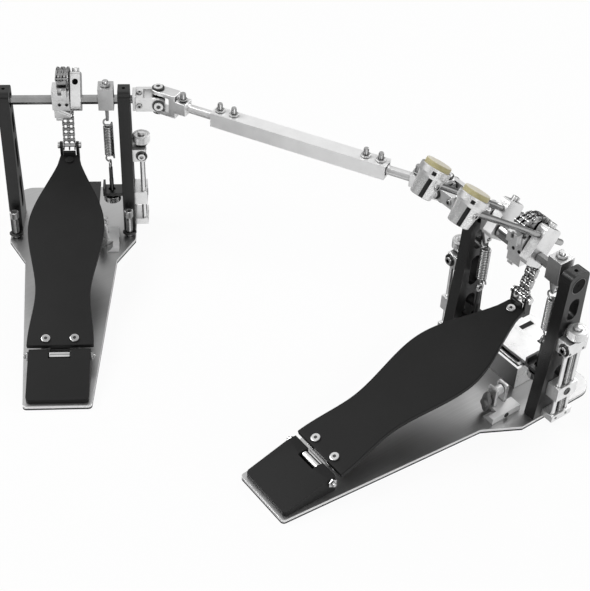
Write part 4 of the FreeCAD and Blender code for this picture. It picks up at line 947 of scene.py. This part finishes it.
# %% Footboard screws
BOARD_TILT = math.radians(15.33)
BOARD_UP = Vector((0, -math.sin(BOARD_TILT), math.cos(BOARD_TILT)))
BOARD_SINK = 0.85
TOE_SCREW = (0, -2.95, 93.65)
HEEL_SCREWS = ((-14.9, -235.45, 29.85), (14.9, -235.45, 29.85))
board_head = socket_screw(4.8, 2.0, 3.4, 0.3, 0.8, bright_steel)
for who, pedal in PEDALS:
    spots = (*HEEL_SCREWS, TOE_SCREW) if who == "main" else HEEL_SCREWS
    places = [pedal @ aim(Vector(spot) - BOARD_UP * BOARD_SINK, BOARD_UP) for spot in spots]
    set_out(board_head, places, who + "_board_screws", None, who + "_footboard")
put_away(board_head)

# %% Sunk screws in the caps and cam hubs
POST_X, CAP_TOP = 65.65, 183.2
CAM_HUB_FRONT, CAM_HUB_SCREWS = -9.6, (-4.6, 3.2)
sunk_screw = socket_screw(1.85, 2.0, 1.9, 1.2, 0.3, dark_steel)
caps = [pedal @ aim((side * POST_X, 0, CAP_TOP), UP) for _, pedal in PEDALS for side in (1, -1)]
set_out(sunk_screw, caps, "cap_screws", None, "frame")
for who, pedal in PEDALS:
    places = [pedal @ aim((x, CAM_HUB_FRONT, SHAFT_HEIGHT), FRONT) for x in CAM_HUB_SCREWS]
    set_out(sunk_screw, places, who + "_hub_screws", None, who + "_shaft_line")
put_away(sunk_screw)

# %% Screws on the tension supports, and dark discs of painted shade in holes of the supports and blocks
SUPPORT_FRONT, SUPPORT_SCREW_Z, SUPPORT_SIDE = -13.45, 105, 87.2
SMALL_HOLE_SPOTS = ((-9, 100), (9, 100), (-8, 12), (6, 12))
BLOCK_HOLE_Z = 45.5
support_head = socket_screw(4.3, 3.4, 4.4, 0.35, 0.5, bright_steel)
support_ring = washer(6.6, 4.5, 0, 0.7)
# Thin dark discs stand for the small holes in the supports: their black is painted shade.
small_hole_shade = socket_screw(1.4, 0.3, 1.3, 0.25, 0.08, dark_steel)
# A thin dark disc stands for the big hole in each tension block: its black is painted shade.
hole_shade_disc = socket_screw(4.4, 0.6, 4.6, 0.4, 0.2, dark_steel)
heads = [pedal @ aim((side * SCREW_X, SUPPORT_FRONT, SUPPORT_SCREW_Z), FRONT) for _, side, pedal in POST_SIDES]
set_out(support_head, heads, "support_screws", None, "frame")
set_out(support_ring, heads, "support_rings", dark_steel, "frame")
dots = [pedal @ aim((side * SUPPORT_SIDE, y, z), (side, 0, 0)) for _, side, pedal in POST_SIDES
        for y, z in SMALL_HOLE_SPOTS]
set_out(small_hole_shade, dots, "support_hole_shades", None, "frame")
for who, side, pedal in POST_SIDES:
    places = [pedal @ aim((side * SUPPORT_SIDE, 0, BLOCK_HOLE_Z), (side, 0, 0))]
    set_out(hole_shade_disc, places, who + "_block_hole_shade", None, who + "_tension_block")
put_away(support_head, support_ring, small_hole_shade, hole_shade_disc)

# %% Set screws on the shaft yokes
YOKES = (("left", MAIN, -95), ("slave", SLAVE, 83))
YOKE_FRONT, YOKE_TOP = -14.0, 179.4
yoke_screw = socket_screw(3.0, 2.0, 2.8, 1.4, 0.4, chain_steel)
for who, pedal, x in YOKES:
    places = [pedal @ aim((x, YOKE_FRONT, SHAFT_HEIGHT), FRONT), pedal @ aim((x, 0, YOKE_TOP), UP)]
    set_out(yoke_screw, places, who + "_yoke_screws", None, who + "_shaft_line")
put_away(yoke_screw)

# %% Clamp screws on the beater hubs
HUBS = (("main", HUB_X, MAIN), ("left", LEFT_HUB_X, MAIN), ("slave", HUB_X, SLAVE))
HUB_TOP_Y, HUB_TOP_Z, CLAMP_SINK = 18.35, 198.25, 2.1
clamp_head = socket_screw(4.0, 4.8, 3.6, 0.5, 0.5, head_alloy)
for who, x, pedal in HUBS:
    base = Vector((x, HUB_TOP_Y, HUB_TOP_Z)) - HEAD_WAY * CLAMP_SINK
    places = [pedal @ aim(base, HEAD_WAY)]
    set_out(clamp_head, places, who + "_hub_clamp_screw", None, who + "_shaft_line")
put_away(clamp_head)

# %% Nuts on the spring arms
ARM_TOP, ARM_NUT_HIGH, ARM_STUD_TOP = 190.0, 193.6, 196.2
arm_nut = join([hexagon(10, ARM_TOP, ARM_NUT_HIGH, 0.5), thread(3.2, 0.35, 1.2, ARM_NUT_HIGH, ARM_STUD_TOP)])
for who, pedal in PEDALS:
    set_out(arm_nut, [pedal @ shift(SPRING_X)], who + "_arm_nut", bright_steel, who + "_shaft_line")
put_away(arm_nut)

# %% Studs with nuts on the sleeve and the drive yokes
sleeve_stud = join([rod(2.6, 4.7, 18.9, 24, 0.5), thread(2.6, 0.35, 1.0, 12.0, 18.4),
                    hexagon(9.4, 8.45, 11.8, 0.6)])
yoke_stud = join([rod(3.0, 7.4, 17.4, 24, 0.5), thread(3.0, 0.35, 1.0, 10.5, 17.0),
                  hexagon(9.0, 9.2, 10.8, 0.4)])
drive_length = drive_way.length / MM
SLEEVE_STUDS = (78.0, 95.0, drive_length - 73.5, drive_length - 90.5)
YOKE_STUDS = (31.5, drive_length - 31.5)
studs = [(sleeve_stud, x) for x in SLEEVE_STUDS] + [(yoke_stud, x) for x in YOKE_STUDS]
made = join([copy_of(model, DRIVE @ shift(x)) for model, x in studs])
done(made, "drive_studs", chain_steel, "driveshaft", ("drive_screws",), smooth=30, flat=True)
put_away(sleeve_stud, yoke_stud)
print("studs on the driveshaft:", len(studs))

# %% Screws that hold the beater rods, and the plug in the hub that has no rod
ROD_ACROSS, CUP_SIDE = 18.8, 10.4
ROD_HOLE = Vector((HUB_X, 0, SHAFT_HEIGHT)) + HEAD_WAY * ROD_ACROSS
rod_screw = socket_screw(3.4, 2.6, 3.0, 1.6, 0.4, chain_steel)
for who, x in BEATERS:
    places = [head_place(x) @ aim((CUP_SIDE, 0, ROD_ACROSS), (1, 0, 0))]
    set_out(rod_screw, places, who + "_rod_screw", None, who + "_beater")
rod_plug = rod(3.15, -4, 4, 24, 0.3)
set_out(rod_plug, [SLAVE @ aim(ROD_HOLE, ROD_WAY)], "slave_rod_plug", black_with_painted_shade, "slave_shaft_line")
put_away(rod_screw, rod_plug)

# %% Nuts on the heel hinges
HINGE_END = (32.05, -251.5, 19.6)
hinge_end = join([hexagon(8.8, 0, 2.2, 0.4), rod(2.0, 0, 5.4, 20, 0.4), thread(2.0, 0.3, 0.8, 2.6, 5.0)])
ends = [pedal @ aim((side * HINGE_END[0], *HINGE_END[1:]), (side, 0, 0)) for _, pedal in PEDALS
        for side in (1, -1)]
set_out(hinge_end, ends, "hinge_nuts", chain_steel, "frame")
put_away(hinge_end)

# %% [markdown]
# ## Floor spurs, seals and rubber
# Each post of the slave pedal stands beside a threaded floor spur with a knurled head and a dark, oval
# lock nut. The outer bearing of each pedal is closed by a black seal whose extra depth of black is
# painted shade for a recess, in a thin rim whose paler coat is a painted highlight on the hole's edge.
# A black block sits between the ears of each toe clevis, and the clamp jaw has two rubber inlays in its top.

# %% Floor spurs
SPUR_Y, NUT_OVAL = -31.0, 1.6
SPUR_POINT = ((0.9, 0.3), (3.4, 4.2), (3.4, 33.2))
spur = join([turned(SPUR_POINT, 24), knurled(5.0, 33.0, 41.0, 26, 0.4), thread(3.3, 0.75, 2.0, 12.6, 32.5)])
lock_nut = rod(5.0, 8.6, 11.6, 40, 0.6)
lock_nut.data.transform(Matrix.Diagonal((NUT_OVAL, 1, 1, 1)))
spots = [SLAVE @ shift(side * POST_X, SPUR_Y) for side in (1, -1)]
set_out(spur, spots, "spurs", spur_steel, "frame", ("floor_spurs",))
set_out(lock_nut, spots, "spur_nuts", dark_steel, "frame")
put_away(spur, lock_nut)

# %% Bearing seals
SEAL = ((8.2, 72.32), (8.2, 72.5), (7.4, 72.62), (6.6, 72.5), (5.2, 72.44), (1.6, 72.4), (1.2, 72.7),
        (0.6, 72.75))
RIM_X, RIM, RIM_WIRE = 72.35, 8.7, 0.45
# The seal's deep black is partly painted shade, so that it reads as recessed in the post.
seal = turned(SEAL, 48)
seal.data.transform(Matrix.Rotation(math.pi / 2, 4, "Y"))
# The thin rim takes the paler wing coat as a painted highlight on the edge of the hole.
rim = start("torus", major_radius=RIM * MM, minor_radius=RIM_WIRE * MM, major_segments=48, minor_segments=10,
            location=(RIM_X * MM, 0, 0), rotation=(0, math.pi / 2, 0))
outer_ends = [MAIN @ shift(0, 0, SHAFT_HEIGHT),
              SLAVE @ shift(0, 0, SHAFT_HEIGHT) @ Matrix.Rotation(math.pi, 4, "Z")]
set_out(seal, outer_ends, "bearing_seals", black_with_painted_shade, "frame")
set_out(rim, outer_ends, "bearing_rim_highlights", wing_coat, "frame")
put_away(seal, rim)

# %% Toe blocks between the clevis ears
TOE = ((-7.0, 7.0), (2.4, 6.2), (91.5, 100.2))
for who, pedal in PEDALS:
    toe = block(*TOE)
    round_edges(toe, 0.7, 3)
    toe.data.transform(pedal)
    done(toe, who + "_toe_block", post_coat, who + "_footboard", flat=True)
print("two toe blocks")

# %% Inlays in the clamp jaw
INLAY_X, INLAY_HALF, INLAY_Y, INLAY_Z = 13.5, 2.65, (35.1, 51.9), (36.2, 37.35)
inlays = join([block((x - INLAY_HALF, x + INLAY_HALF), INLAY_Y, INLAY_Z) for x in (-INLAY_X, INLAY_X)])
round_edges(inlays, 0.4)
done(inlays, "jaw_inlays", sole_rubber, "main_clamp_jaw", flat=True)
print("two rubber inlays")

# %% [markdown]
# ## Second finishes
# Some dressed solids show two finishes. The toe clevis is black beside its bright bolt and screw, the
# slave pedal's tower has a black cap, the main one has a front darkened by painted shadow from the
# footboard, the base plates are pale on their upright edges, and each tension block is dark inside its
# post. A second material slot is added, and its faces are chosen by their place or their direction.

# %% Faces with a second finish
TOE_BOLT_Y, TOE_BOLT_Z, TOE_BOLT_ROOM = 10, 104.9, 3.8
CLEVIS_BACK = -9
CAP_LOW = 32.9
POST_FACE = 72.4
slave_back = SLAVE.inverted()


def second_finish(name, finish, test):
    piece = bpy.data.objects[name + "_dressed"]
    piece.data.materials.append(finish.material)
    chosen = [face for face in piece.data.polygons if test(face)]
    for face in chosen:
        face.material_index = len(piece.data.materials) - 1
    print(piece.name, "has", len(chosen), "faces in", finish.material.name)


def on_clevis(point, screw_room):
    """Says if a point is on the toe clevis, away from its bolt and from the screw beside it."""
    bolt = math.hypot(point.y - TOE_BOLT_Y * MM, point.z - TOE_BOLT_Z * MM)
    screw = (point - Vector(TOE_SCREW) * MM).length
    return point.y > CLEVIS_BACK * MM and bolt > TOE_BOLT_ROOM * MM and screw > screw_room * MM


second_finish("main_footboard_fittings", post_coat, lambda f: on_clevis(f.center, 5))
second_finish("slave_footboard_fittings", post_coat, lambda f: on_clevis(slave_back @ f.center, 0))
second_finish("clamp_towers", post_coat, lambda f: f.center.x < -0.3 and f.center.z > CAP_LOW * MM)
# The main tower's front faces take painted shadow from the footboard above them.
second_finish("clamp_towers", painted_shadow_steel, lambda f: f.center.x > -0.2 and f.normal.y < -0.6)
second_finish("base_plates", plate_edge, lambda f: abs(f.normal.z) < 0.8)
second_finish("main_tension_block", dark_steel, lambda f: f.center.x < POST_FACE * MM)
second_finish("left_tension_block", dark_steel, lambda f: f.center.x > -POST_FACE * MM)
second_finish("slave_tension_block", dark_steel, lambda f: (slave_back @ f.center).x < POST_FACE * MM)

# %% [markdown]
# ## Wing bolts and side forks
# The wing is cast in one piece with its round hub, so it has no sharp edge anywhere. An oval is made from
# a cylinder scaled across, its rim is bevelled round, and a turned hub joins it. The block beside it
# carries a fork: two square-topped cheeks with a bright roller between them.

# %% Wing bolts
FORK_X = 35.0
WING_Y, WING_Z = -56.0, 19.5
WING_REACH, WING_THICK, WING_SHARE = 12.9, 4.4, 0.42
WING_HUB = ((3.4, -4.6), (4.2, -4.3), (4.6, -3.4), (4.6, 3.4), (4.2, 4.0), (2.6, 4.1), (2.6, 9.4))
LYING = Matrix.Rotation(-math.pi / 2, 4, "X")
for who, pedal in PEDALS:
    oval = start("cylinder", vertices=48, radius=WING_REACH * MM, depth=WING_THICK * MM)
    oval.data.transform(Matrix.Diagonal((WING_SHARE, 1, 1, 1)))
    round_edges(oval, 1.7, 4)
    made = join([oval, turned(WING_HUB, 32)])
    made.data.transform(pedal @ shift(FORK_X, WING_Y, WING_Z) @ LYING)
    done(made, who + "_wing", wing_coat, who + "_wing_bolt", (who + "_wing_bolt",), smooth=40)
print("two wing bolts")

# %% Forks, rollers and foot screws
CHEEK_X, CHEEK_Z, CHEEK_THICK, CHEEKS_Y = (28.7, 41.3), (12.8, 34.2), 4.0, (-50.3, -36.7)
ROLLER_Z = 28.0
ROLLER = ((3.6, -46.0), (5.0, -45.6), (5.2, -44.9), (5.2, -38.1), (5.0, -37.4), (3.6, -37.0))
FOOT_SCREW = (53.95, -44.0, 9.0)
both = [pedal for _, pedal in PEDALS]
fork = join([block(CHEEK_X, (low, low + CHEEK_THICK), CHEEK_Z) for low in CHEEKS_Y])
round_edges(fork, 0.7)
roller = turned(ROLLER, 36)
roller.data.transform(shift(FORK_X, 0, ROLLER_Z) @ LYING)
foot_screw = socket_screw(2.9, 0.5, 3.4, 0.3, 0.15, dark_steel)
set_out(fork, both, "side_forks", silver_alloy, "frame")
set_out(roller, both, "side_rollers", sleeve_alloy, "frame")
set_out(foot_screw, [pedal @ aim(FOOT_SCREW, (1, 0, 0)) for pedal in both], "side_foot_screws", None,
        "frame")
put_away(fork, roller, foot_screw)
